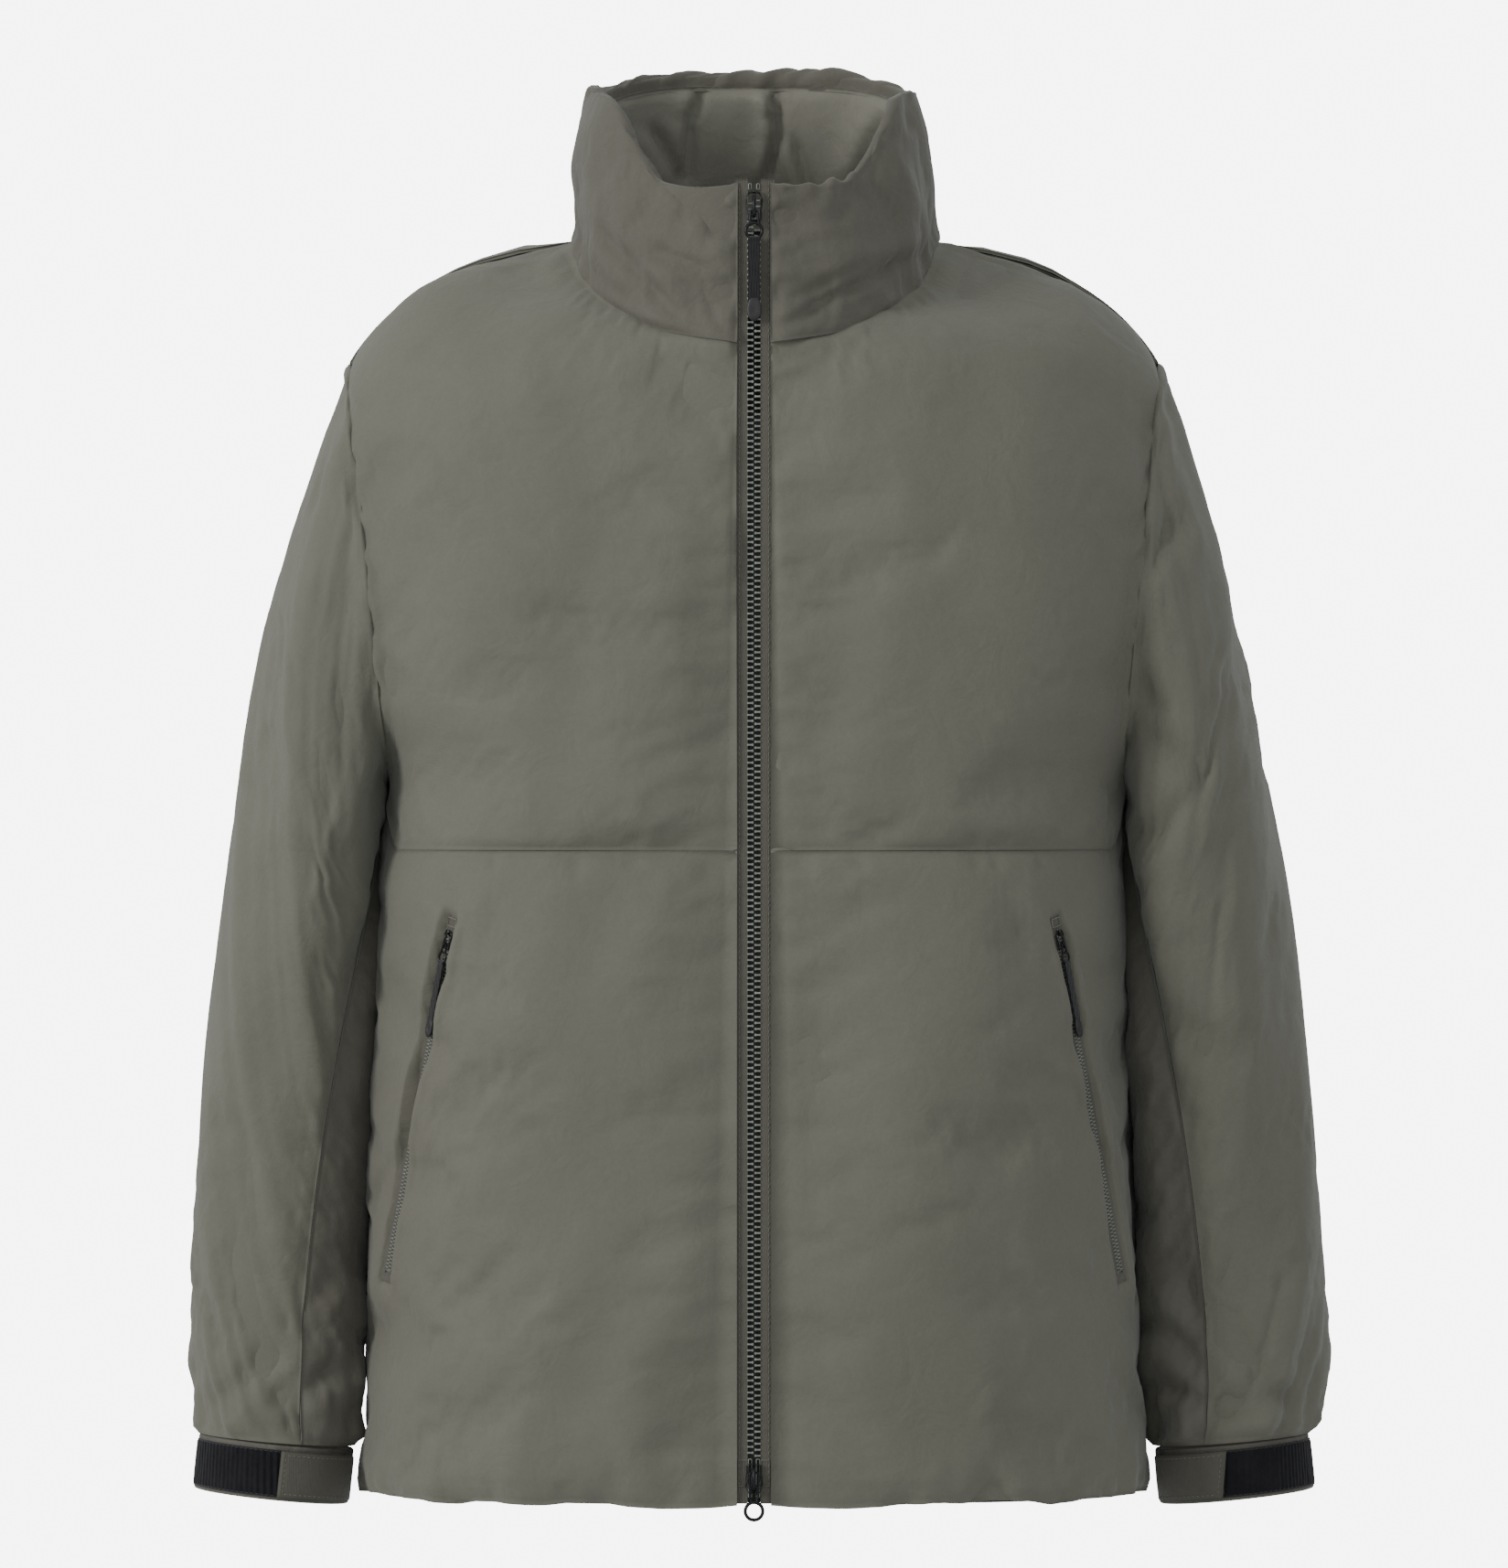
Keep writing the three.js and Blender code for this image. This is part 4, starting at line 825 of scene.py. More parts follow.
for name, side in SIDES:
    u, w = np.meshgrid(np.linspace(0, 1, 60), np.linspace(0.04, 2, 120), indexing="ij")
    base = front_face(u, w)
    n = normals_of(base, BODY_CENTRE)
    depth = EDGE + PAD * np.sin(math.pi * u) * bump(w % 1) + LINING_GAP
    near = edge_distances(base)
    fold = (0.4 + 0.9 * np.abs(noise(near[0] / 26, near[2] / 160, 81 + side))) * smooth(0, 12,
        np.minimum(near[0], near[1]))
    p = base - n * (depth + fold)[..., None]
    p[0, :, 0] = ZIP_EDGE + 4
    p[..., 0] = np.where(in_armhole(p[..., 2]), np.minimum(p[..., 0], arm_x(p[..., 2]) - 0.15), p[..., 0])
    p[..., 1] = np.minimum(p[..., 1], -0.15)
    flip = np.array([side, 1, 1])
    thin_cloth(f"lining_front_{name}_cloth", p * flip, n * flip, 0.8, "jacket", [f"lining_front_{name}"], LINING)
    u, w = np.meshgrid(np.linspace(0.375, 0.875, 40), np.linspace(1.15, 1.85, 50), indexing="ij")
    base = front_face(u, w)
    n = normals_of(base, BODY_CENTRE)
    p = base - n * (EDGE + PAD * np.sin(math.pi * u) * bump(w - 1) + 0.5)[..., None]
    thin_cloth(f"pocket_bag_{name}_cloth", p * flip, n * flip, 1.0, "jacket", [f"pocket_bag_{name}"], LINING)

u, v = even(110, 110)
base = back_face(u, v)
n = normals_of(base, BODY_CENTRE)
near = edge_distances(base)
fold = (0.3 + 1.2 * np.abs(noise(near[0] / 30, near[2] / 190, 85))) * smooth(0, 12, np.minimum(near[0], near[1]))
p = base - n * (back_thick(u, v) + 0.4 + fold)[..., None]
p[..., 0] = np.where(in_armhole(p[..., 2]), np.clip(p[..., 0], 0.15 - arm_x(p[..., 2]), arm_x(p[..., 2]) - 0.15),
    p[..., 0])
p[..., 1] = np.maximum(p[..., 1], 0.15)
thin_cloth("lining_back_cloth", p, n, 0.8, "jacket", ["lining_back"], LINING)

ELASTIC = cloth("hem_elastic_rib", srgb(44, 44, 42), srgb(34, 34, 33), 0.8, 2600.0, 0.0004, (200.0, 0.0002), 0.2)
a = np.linspace(-0.94, 0.94, 320)
front = np.abs(a) > 0.5
ring = np.where(front[:, None], front_face(np.clip(2 - 2 * np.abs(a), 0, 1), np.full(320, 2.0)) * np.stack(
    [-np.sign(a), np.ones(320), np.ones(320)], -1), back_face(np.clip(0.5 + a, 0, 1), np.ones(320)))
ring_n = np.stack([ring[:, 0] / 211**2, ring[:, 1] / np.where(front, 140.0, 112.0) ** 2, np.zeros(320)], -1)
ring_n /= np.linalg.norm(ring_n, axis=-1, keepdims=True)
height = np.linspace(0, 1, 6)
ripple = EDGE + LINING_GAP + 3.9 + 0.35 * np.sin(np.arange(320) * 1.9)
p = np.stack([ring - ring_n * ripple[:, None] + np.array([0, 0, 3 + 10.4 * h]) for h in height], 1)
thin_cloth("hem_elastic_cloth", p, np.repeat(ring_n[:, None], 6, 1), 1.0, "jacket", ["hem_elastic"], ELASTIC)


def zip_place(p):
    """From the front zip's own frame (z up the zip, -y outward, from the hem) to the jacket's."""
    lean = -math.atan(ZIP_LEAN)
    x, y, z = p[..., 0], p[..., 1], p[..., 2]
    return np.stack([x, y * math.cos(lean) - z * math.sin(lean) - ZIP_DEPTH,
        y * math.sin(lean) + z * math.cos(lean) + HEM_Z], -1)


x, z = np.meshgrid(np.linspace(-13, 35, 24), np.linspace(1.5, 585, 124), indexing="ij")
p = zip_place(np.stack([x, 3.6 + 0.25 * noise(x / 14, z / 50, 88), z], -1))
thin_cloth("zip_guard_cloth", p, np.broadcast_to(np.array([0, -1.0, 0]), p.shape), 0.9, "jacket", ["zip_guard"], LINING)

WEBBING = cloth("pull_webbing", srgb(33, 33, 34), srgb(22, 22, 23), 0.85, 4200.0, 0.0003, (300.0, 0.0001), 0.3,
    "Object", 0.4)
t = np.linspace(-1, 1, 60)
half, width, foot = 30.0, 8.0, 8.0
line_y = math.sqrt(1 - (half / NECK_HALF) ** 2) * NECK_BACK - 6 - 1.6 - 0.6 - 1.2 - 3
low = foot * t * t
p = np.stack([np.stack([half * t, np.full(60, line_y), low + width * k], -1) for k in np.linspace(0, 1, 7)], 1)
thin_cloth("hanger_loop_webbing", p, np.broadcast_to(np.array([0, -1.0, 0]), p.shape), 1.2, "jacket", ["hanger_loop"],
           WEBBING)

# ---------------------------------------------------------------------------------------------------
# Sleeves
# Each has an upper and an under pad with a tube of lining. The seams run down the front and the back.
# The cloth is sewn to the body at the armhole.
# ---------------------------------------------------------------------------------------------------
CUFF_OUT, CUFF_IN, CUFF_DEPTH, CUFF_Y = (303.0, -650.0), (216.0, -657.0), 40.0, -25.0
sleeve_outer = curve([
    ARM_TOP[::-1], (-93.5, 233), (-118.5, 242), (-168.5, 256), (-218.5, 266), (-318.5, 282), (-418.5, 295),
    (-518.5, 303), (-600, 307), CUFF_OUT[::-1]])
sleeve_inner = curve([ARM_LOW[::-1], (-340, 203), (-380, 207), (-493, 212), CUFF_IN[::-1]])
sleeve_depth = curve([(0, 80), (0.25, 74), (0.5, 63), (0.75, 51), (1, CUFF_DEPTH)])
SLEEVE_CENTRE = np.array([250.0, -15, -360])


def sleeve_face(turn, s):
    """Left sleeve: turn 0 along its top, a quarter turn at its front; s from the armhole to the cuff."""
    a = 2 * math.pi * turn
    zo, zi = mixed(ARM_TOP[1], CUFF_OUT[1], s), mixed(ARM_LOW[1], CUFF_IN[1], s)
    xo, xi = sleeve_outer(zo), sleeve_inner(zi)
    c = np.cos(a)
    p = np.stack([(xo + xi) / 2 + (xo - xi) / 2 * c, mixed(-5.0, CUFF_Y, s**1.3) - sleeve_depth(s) * np.sin(a),
                  (zo + zi) / 2 + (zo - zi) / 2 * c], -1)
    z = mixed((ARM_TOP[1] + ARM_LOW[1]) / 2, ARM_TOP[1], c)
    front = np.sin(a) > 0
    hole = np.stack([arm_x(z) + 0.15, depth_at(arm_x(z), z, front) * np.where(front, -1, 1), z], -1)
    p = hole + (p - hole) * smooth(0, 0.2, s)[..., None]
    p[..., 0] = np.maximum(p[..., 0], arm_x(p[..., 2]) + 0.15)
    return p


def front_seam(s):
    return 0.5 - 0.194 * (1 - (1 - s) ** 2)


def back_seam(s):
    return 0.638 + 0.056 * s


def tucked(p, s):
    """The sleeve's head reaches a little under the body's edge at the armhole."""
    return p - smooth(0.05, 0, s)[..., None] * np.array([3.0, 0, -1.0])


def upper_face(t, s):
    return tucked(sleeve_face(mixed(back_seam(s) - 0.9993, front_seam(s) - 0.0007 + 0.006 * smooth(0.97, 1, s), t),
        s), s)


def under_face(t, s):
    return tucked(sleeve_face(mixed(front_seam(s) + 0.0007, back_seam(s) - 0.0007, t), s), s)


def sleeve_thick(t, s):
    return EDGE + (PAD - 1) * bump(t) * bump(s)


# the longest folds of each sleeve, as x, z, x, z, depth, width on the left sleeve's plan
SLEEVE_FOLDS = {
    "left": [(205, -190, 232, -150, 3, 6), (204, -240, 222, -262, 3.6, 7), (206, -262, 246, -300, 3.4, 8),
             (212, -330, 236, -300, 2.4, 7), (222, -420, 262, -452, 2.4, 10), (214, -584, 250, -620, 4, 7),
             (226, -560, 262, -606, 3.4, 8), (218, -620, 262, -640, 3, 5), (262, -600, 292, -640, 2.4, 7),
             (246, -636, 292, -626, 2.2, 5), (206, -120, 214, -92, 2.6, 5)],
    "right": [(212, -130, 220, -220, 1.6, 7), (236, -200, 250, -420, 1.4, 14), (264, -420, 286, -620, 1.6, 12),
              (222, -610, 262, -634, 2.6, 6), (250, -600, 296, -636, 2.2, 7), (230, -560, 256, -600, 1.8, 8)]}


def sleeve_relief(name, seed):
    """Long drags down the arm, creases that grow toward the cuff, and the longest folds set one by one."""
    def relief(p, near):
        x, z = p[..., 0], p[..., 2]
        drag = 3.4 * noise(near[0] / 34, near[2] / 190, seed) + 1.4 * noise(near[0] / 17, near[2] / 90, seed + 1)
        low = smooth(-520, -640, z)
        cuff = gathers(near[0], near[3], seed + 2, 4.0, 13.0, 26.0) + 2.8 * low * smooth(0, 9,
            near[3]) * noise(near[0] / 30, near[2] / 17, seed + 3)
        arm = gathers(near[0], near[2], seed + 4, 1.6, 19.0, 24.0)
        folds = 1.35 * creases(x, z, SLEEVE_FOLDS[name]) * smooth(20, -20, p[..., 1])
        seams = smooth(0, 12, np.minimum(near[0], near[1]) + 1)
        inside = 6.0 * smooth(0, 20, np.minimum(near[0], near[1])) * smooth(-290, -350, z) * smooth(-650, -600,
            z) * smooth(232, 212, np.abs(x))
        return (drag * smooth(204, 224, np.abs(x)) + folds) * seams * smooth(0, 20, near[2]) * smooth(0, 7,
            near[3]) + cuff + arm + inside + 1.6 * smooth(12, 2, near[2])
    return relief


UNDER = cloth("sleeve_under_nylon", srgb(98, 98, 89), srgb(88, 85, 75))


def across_armhole(obj):
    """Bakes the object's transform into its mesh."""
    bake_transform(obj)


for name, side in SIDES:
    seed = 500 if side > 0 else 600
    for part, face, size, material in (("upper", upper_face, (104, 150), SHELL),
        ("under", under_face, (56, 150), UNDER)):
        node = f"sleeve_{part}_{name}"
        pad = padded_panel(f"{node}_cloth", face, *even(*size), sleeve_thick, SLEEVE_CENTRE, None, [node],
                           seed + (0 if part == "upper" else 40), side, fill=(0.9, 0.01, 3.0),
                           seams=((0.9, 0.5), (0.9, 0.5), (0.4, 0.6), (0.6, 1.2)),
                           relief=sleeve_relief(name, seed + (7 if part == "upper" else 27)),
                           coarse=(40 if part == "upper" else 24, 64))
        made_of(pad.obj, material)
        across_armhole(pad.obj)
        panels[node] = pad
    turn, s = np.meshgrid(np.linspace(0, 1, 90), np.linspace(0.08, 0.985, 110), indexing="ij")
    base = sleeve_face(turn, s)
    n = normals_of(base, SLEEVE_CENTRE)
    n[[0, -1]] = (n[0] + n[-1]) / 2
    p = base - n * ((EDGE + PAD - 0.7) * bump(0.06 + 0.88 * s) + 1.5)[..., None]
    p[..., 0] = np.maximum(p[..., 0], arm_x(p[..., 2]) + 0.4)
    flip = np.array([side, 1, 1])
    lining = thin_cloth(f"lining_sleeve_{name}_cloth", p * flip, n * flip, 0.7, None,
                        [f"lining_sleeve_{name}"], LINING)
    across_armhole(lining)

# ---------------------------------------------------------------------------------------------------
# Cuffs
# A folded band of shell cloth on the sleeve's end. A black loop patch is sewn round its outer half, and
# a moulded tab, sewn on at the inner side, closes over the patch with a hook patch under its end.
# ---------------------------------------------------------------------------------------------------
CUFF_TILT, CUFF_A, CUFF_B, CUFF_BAND, TAB_ROOT = math.radians(6), 42.5, 39.5, 31.0, 20.0


def cuff_place(p, side):
    """From a cuff's own frame (z up the sleeve, from its end) to the jacket's: tilted, then moved."""
    turn = -side * CUFF_TILT
    x, y, z = p[..., 0], p[..., 1], p[..., 2]
    return np.stack([x * math.cos(turn) + z * math.sin(turn) + side * (CUFF_OUT[0] + CUFF_IN[0]) / 2, y + CUFF_Y,
                     z * math.cos(turn) - x * math.sin(turn) + (CUFF_OUT[1] + CUFF_IN[1]) / 2], -1)


def cuff_point(angle, off, z, side):
    """Angle in degrees round the cuff (0 toward the body, 90 at the front), distance off the band, height."""
    a = np.radians(angle)
    return np.stack([-side * (CUFF_A + off) * np.cos(a), -(CUFF_B + off) * np.sin(a), z + 0 * a], -1)


def closed_band(name, angles, profile, side, ripple=None, ring=False):
    """A profile of (off, z) rows carried round the cuff, closed on itself, with end caps unless it is a ring."""
    a = np.asarray(angles)
    off, z = np.asarray(profile, float).T
    grid_a, grid_o = np.meshgrid(a, off, indexing="ij")
    grid_z = np.broadcast_to(z, grid_a.shape)
    if ripple is not None:
        grid_o = grid_o + ripple(grid_a, grid_z, grid_o)
    p = cuff_place(cuff_point(grid_a, grid_o, grid_z, side), side)
    n, m = grid_a.shape
    i, j = np.meshgrid(np.arange(n if ring else n - 1), np.arange(m), indexing="ij")
    i, j = i.ravel(), j.ravel()
    i2, j2 = (i + 1) % n, (j + 1) % m
    faces = np.stack([i * m + j, i2 * m + j, i2 * m + j2, i * m + j2], 1)
    points = p.reshape(-1, 3)
    if not ring:
        caps = []
        for end in (0, n - 1):
            points = np.concatenate([points, p[end].mean(0, keepdims=True)])
            k = np.arange(m)
            middle = np.full(m, len(points) - 1)
            caps.append(np.stack([end * m + k, end * m + (k + 1) % m, middle, middle], 1))
        faces = np.concatenate([faces, *caps])
    uv = np.stack([np.radians(grid_a).ravel() * CUFF_A, np.tile(np.cumsum(np.hypot(np.diff(off, append=off[0]),
                   np.diff(z, append=z[0]))), n)], -1) * MM
    uv = np.concatenate([uv, np.zeros((len(points) - len(uv), 2))])
    obj = new_mesh(name, points * MM, faces, uv)
    bm = bmesh.new()
    bm.from_mesh(obj.data)
    bmesh.ops.remove_doubles(bm, verts=bm.verts[:], dist=1e-6)
    bmesh.ops.dissolve_degenerate(bm, edges=bm.edges[:], dist=1e-7)
    bmesh.ops.recalc_face_normals(bm, faces=bm.faces[:])
    bm.to_mesh(obj.data)
    bm.free()
    return outward(obj)


def rounded(o0, o1, z0, z1, r, steps=4):
    """A rectangle in off and z with rounded corners, as a closed profile; long sides have points to ripple."""
    turn = np.linspace(0, math.pi / 2, steps)
    out = []
    for co, cz, start in ((o1 - r, z1 - r, 0), (o0 + r, z1 - r, 1), (o0 + r, z0 + r, 2), (o1 - r, z0 + r, 3)):
        angle = turn + start * math.pi / 2
        out.append(np.stack([co + r * np.cos(angle), cz + r * np.sin(angle)], -1))
    side_z = np.linspace(z0 + r, z1 - r, 12)[1:-1]
    down = np.stack([np.full(10, o0), side_z[::-1]], -1)
    up = np.stack([np.full(10, o1), side_z], -1)
    return np.concatenate([out[0], out[1], down, out[2], out[3], up])


CUFF_CLOTH = cloth("cuff_nylon", srgb(98, 97, 88), srgb(84, 81, 71), 0.75, creases=(90.0, 0.0009))
LOOP_PILE = cloth("loop_pile", srgb(20, 20, 24), srgb(9, 9, 11), 0.95, 1700.0, 0.0007, (60.0, 0.0001), 0.05, "Object",
    0.8)
LOOP_EDGE = cloth("loop_patch_edge", srgb(34, 34, 38), srgb(24, 24, 27), 0.8, 5000.0, 0.0002, (300.0, 0.0001), 0.2,
    "Object")
TAB = cloth("tab_cloth", srgb(82, 81, 72), srgb(70, 68, 60), 0.7, 7000.0, 0.00008, (120.0, 0.0006), 0.2, "Object", 0.3)


def sewing_thread(name, colour):
    """Twisted sewing thread, with a darker second tint."""
    return cloth(name, colour, tuple(0.75 * np.array(colour)), 0.6, 9000.0, 0.00002, (900.0, 0.00004), 0.2, "Object")


THREAD = sewing_thread("sewing_thread", srgb(112, 111, 99))
THREAD_DARK = sewing_thread("sewing_thread_dark", srgb(44, 44, 42))


def stitches(name, points, normals, body, material, length=2.6, pitch=3.4, thick=0.32, sink=0.05):
    """A row of thread stitches: each a six-sided spindle that dips into the cloth at both ends."""
    points, normals = np.asarray(points), np.asarray(normals)
    s = np.concatenate([[0], np.cumsum(np.linalg.norm(np.diff(points, axis=0), axis=1))])
    starts = np.arange(0.4, s[-1] - length, pitch)
    share = np.array([0.0, 0.18, 0.5, 0.82, 1.0])
    fat = np.array([0.15, 0.85, 1.0, 0.85, 0.15])
    rise = np.array([-0.25, 0.12, 0.22, 0.12, -0.25])
    where = (starts[:, None] + share[None] * length).ravel()
    mid = np.stack([np.interp(where, s, points[:, k]) for k in range(3)], -1)
    nor = np.stack([np.interp(where, s, normals[:, k]) for k in range(3)], -1)
    nor /= np.linalg.norm(nor, axis=-1, keepdims=True)
    ahead = np.stack([np.interp(where + 0.3, s, points[:, k]) for k in range(3)], -1) - mid
    ahead[np.linalg.norm(ahead, axis=-1) < 1e-6] = ahead[0]
    ahead /= np.linalg.norm(ahead, axis=-1, keepdims=True)
    across = np.cross(ahead, nor)
    centre = mid + nor * (np.tile(rise, len(starts)) - sink)[:, None]
    angle = np.arange(6) * math.pi / 3
    radius = np.tile(fat, len(starts)) * thick
    ring = (centre[:, None] + radius[:, None, None] * (np.cos(angle)[None, :, None] * across[:, None]
                                                      + 0.7 * np.sin(angle)[None, :, None] * nor[:, None]))
    k, r, c = np.meshgrid(np.arange(len(starts)), np.arange(4), np.arange(6), indexing="ij")
    base = k.ravel() * 30
    r, c = r.ravel(), c.ravel()
    c2 = (c + 1) % 6
    sides = np.stack([base + r * 6 + c, base + r * 6 + c2, base + (r + 1) * 6 + c2, base + (r + 1) * 6 + c], 1)
    first = np.arange(len(starts)) * 30
    ends = np.concatenate([np.stack([first + o + 0, first + o + a, first + o + b, first + o + c_], 1)
                           for o, (a, b, c_) in ((0, (3, 2, 1)), (0, (5, 4, 3)), (24, (1, 2, 3)), (24, (3, 4, 5)))])
    obj = new_mesh(name, ring.reshape(-1, 3) * MM, np.concatenate([sides, ends]))
    made_of(obj, material)
    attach(obj, body)
    return obj


def arc_row(side, angles, off, z):
    """Points and outward normals of a row of stitches on a cuff."""
    a = np.radians(np.asarray(angles, float))
    p = cuff_place(cuff_point(np.degrees(a), off, np.broadcast_to(z, a.shape), side), side)
    n = np.stack([-side * np.cos(a) / CUFF_A, -np.sin(a) / CUFF_B, 0 * a], -1)
    n = cuff_place(n / np.linalg.norm(n, axis=-1, keepdims=True), side) - cuff_place(np.zeros((1, 3)), side)
    return p, n


for name, side in SIDES:
    sleeve = f"sleeve_{name}"
    low, high = 2 - CUFF_BAND, -3.5

    def band_ripple(a, z, off):
        """Shallow gathers, strongest where the band meets the sleeve, all the way round."""
        r = np.radians(a)
        wave = noise(20 + 6 * np.cos(r), 20 + 6 * np.sin(r), 90 + side) + 0.5 * noise(20 + 14 * np.cos(r),
            20 + 14 * np.sin(r), 91)
        return np.where(off < -1.5, 0, 0.5 * wave * smooth(-31, -4, z) - 0.35)

    band = closed_band(f"cuff_band_{name}_cloth", np.linspace(0, 360, 181)[:-1],
        rounded(-3.0, 0, -CUFF_BAND, -1, 1.2), side,
                       band_ripple, ring=True)
    made_of(band, CUFF_CLOTH)
    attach(band, sleeve)
    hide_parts(f"cuff_band_{name}")

    pile = closed_band(f"cuff_loop_pile_{name}", np.linspace(49.2, 166.8, 260),
        rounded(0.35, 1.3, low + 1.2, high - 1.2, 0.4), side,
                       lambda a, z, off: np.where(off > 0.8, 0.2 * noise(a / 3, z / 3, 92), 0))
    made_of(pile, LOOP_PILE)
    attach(pile, sleeve)
    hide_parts(f"cuff_loop_patch_{name}")
    edge = closed_band(f"cuff_loop_edge_{name}", np.linspace(48, 168, 90), rounded(0.2, 0.75, low, high, 0.25), side)
    made_of(edge, LOOP_EDGE)
    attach(edge, sleeve)
    for row, z in enumerate((low + 0.9, high - 0.9)):
        stitches(f"cuff_patch_stitches_{name}_{row}", *arc_row(side, np.linspace(85, 167, 60), 0.85, z), sleeve,
            THREAD_DARK,
                 2.0, 2.8, 0.25)
    stitches(f"cuff_patch_stitches_{name}_end",
        *arc_row(side, np.full(20, 166.6), 0.85, np.linspace(low + 1, high - 1, 20)),
             sleeve, THREAD_DARK, 2.0, 2.8, 0.25)

    # the tab: a rounded strip, slightly arched, whose free end is square on the right arm and slanted on the left
    top = 2 * 0.3 + 0.8 + 0.8 + 0.3
    t, q = np.meshgrid(np.linspace(0, 1, 70), np.linspace(0, 1, 26), indexing="ij")
    end = 84 - (0 if side < 0 else 6) * (1 - q)
    angle = mixed(TAB_ROOT, end, t)
    z = mixed(low, high, q)
    rim = np.minimum(np.minimum(t * 45, (1 - t) * 45), np.minimum(q, 1 - q) * (high - low))
    corner = smooth(0, 1.3, rim)
    face = top + 0.25 + 1.75 * corner - 0.35 * np.exp(-((rim - 2.6) / 0.7) ** 2) + 0.2 * noise(angle / 9, z / 9,
        95 + side) * corner
    root = smooth(0.12, 0.0, t)
    outer_off = face - root * 0.4
    inner_off = top + 0.1 - root * (top - 0.3)
    outer = cuff_place(cuff_point(angle, outer_off, z, side), side)
    inner = cuff_place(cuff_point(angle, inner_off, z, side), side)
    uv = np.stack([np.radians(angle) * CUFF_A, z], -1).reshape(-1, 2) * MM
    tab = outward(new_mesh(f"cuff_tab_{name}_cloth", np.concatenate([outer.reshape(-1, 3), inner.reshape(-1, 3)]) * MM,
                           shell_faces(70, 26), np.concatenate([uv, uv])))
    made_of(tab, TAB)
    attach(tab, f"cuff_tab_{name}")
    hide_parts(f"cuff_tab_{name}")
    run = np.linspace(0.06, 0.94, 60)
    for row, share in enumerate((0.09, 0.91)):
        a = mixed(TAB_ROOT, 84 - (0 if side < 0 else 6) * (1 - share), run)
        stitches(f"cuff_tab_stitches_{name}_{row}", *arc_row(side, a, top + 1.75, mixed(low, high, share)),
            f"cuff_tab_{name}",
                 THREAD, 2.0, 2.8, 0.22)
    q1 = np.linspace(0.09, 0.91, 24)
    a = mixed(TAB_ROOT, 84 - (0 if side < 0 else 6) * (1 - q1), 0.945)
    stitches(f"cuff_tab_stitches_{name}_end", *arc_row(side, a, top + 1.75, mixed(low, high, q1)), f"cuff_tab_{name}",
        THREAD,
             2.0, 2.8, 0.22)
    made_of(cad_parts[f"cuff_hook_patch_{name}"], LOOP_EDGE)

# ---------------------------------------------------------------------------------------------------
# Front zip
# Moulded teeth on two woven tapes, from the hem to the collar. Both sliders are coated black metal. The
# top one has a wire ring, a webbing pull and a moulded end. The bottom one has an open ring for a pull.
# ---------------------------------------------------------------------------------------------------
ZIP_HEAD = 25.0
ZIP_TOP = ZIP_HEAD - HEM_Z


def plastic(name, colour, roughness, metallic=0.0, grain=900.0, depth=0.00003, worn=(0, 0, 0)):
    """Moulded plastic or coated metal: fine grain in the relief, uneven gloss, and rubbed patches."""
    mat, shader = principled(name, colour, roughness, metallic, 0.5)
    tree = mat.node_tree
    place = tree.nodes.new("ShaderNodeTexCoord")
    grain_node = node_of(tree, "ShaderNodeTexNoise", {"Scale": grain, "Detail": 3.0})
    patch = node_of(tree, "ShaderNodeTexNoise", {"Scale": 160.0, "Detail": 4.0})
    for n in (grain_node, patch):
        tree.links.new(place.outputs["Object"], n.inputs["Vector"])
    gloss = node_of(tree, "ShaderNodeMapRange", {1: 0.3, 2: 0.7, 3: roughness * 0.75, 4: roughness * 1.25})
    tint = node_of(tree, "ShaderNodeMix", {6: (*colour, 1), 7: (*(np.array(colour) * 1.7 + np.array(worn)), 1)},
        data_type="RGBA")
    share = node_of(tree, "ShaderNodeMapRange", {1: 0.52, 2: 0.75, 3: 0.0, 4: 0.8})
    relief = node_of(tree, "ShaderNodeBump", {"Strength": 0.5, "Distance": depth})
    tree.links.new(grain_node.outputs[0], gloss.inputs[0])
    tree.links.new(gloss.outputs[0], shader.inputs["Roughness"])
    tree.links.new(patch.outputs[0], share.inputs[0])
    tree.links.new(share.outputs[0], tint.inputs[0])
    tree.links.new(tint.outputs[2], shader.inputs["Base Color"])
    tree.links.new(grain_node.outputs[0], relief.inputs["Height"])
    tree.links.new(relief.outputs[0], shader.inputs["Normal"])
    return mat


TEETH = plastic("moulded_teeth", srgb(116, 121, 114), 0.36)
SLIDER = plastic("black_coated_metal", srgb(32, 32, 34), 0.34, 0.55)
WIRE = plastic("black_wire", srgb(38, 38, 40), 0.28, 0.8)
RUBBER = plastic("moulded_pull_end", srgb(34, 33, 34), 0.5, 0.0, 1400.0, 0.00005)
FILM = plastic("reinforcing_film", srgb(128, 128, 120), 0.42, 0.0, 600.0)
TAPE = cloth("zip_tape", srgb(90, 89, 80), srgb(76, 74, 65), 0.85, 5200.0, 0.00012, (300.0, 0.0001), 0.3, "Object",
    0.45)


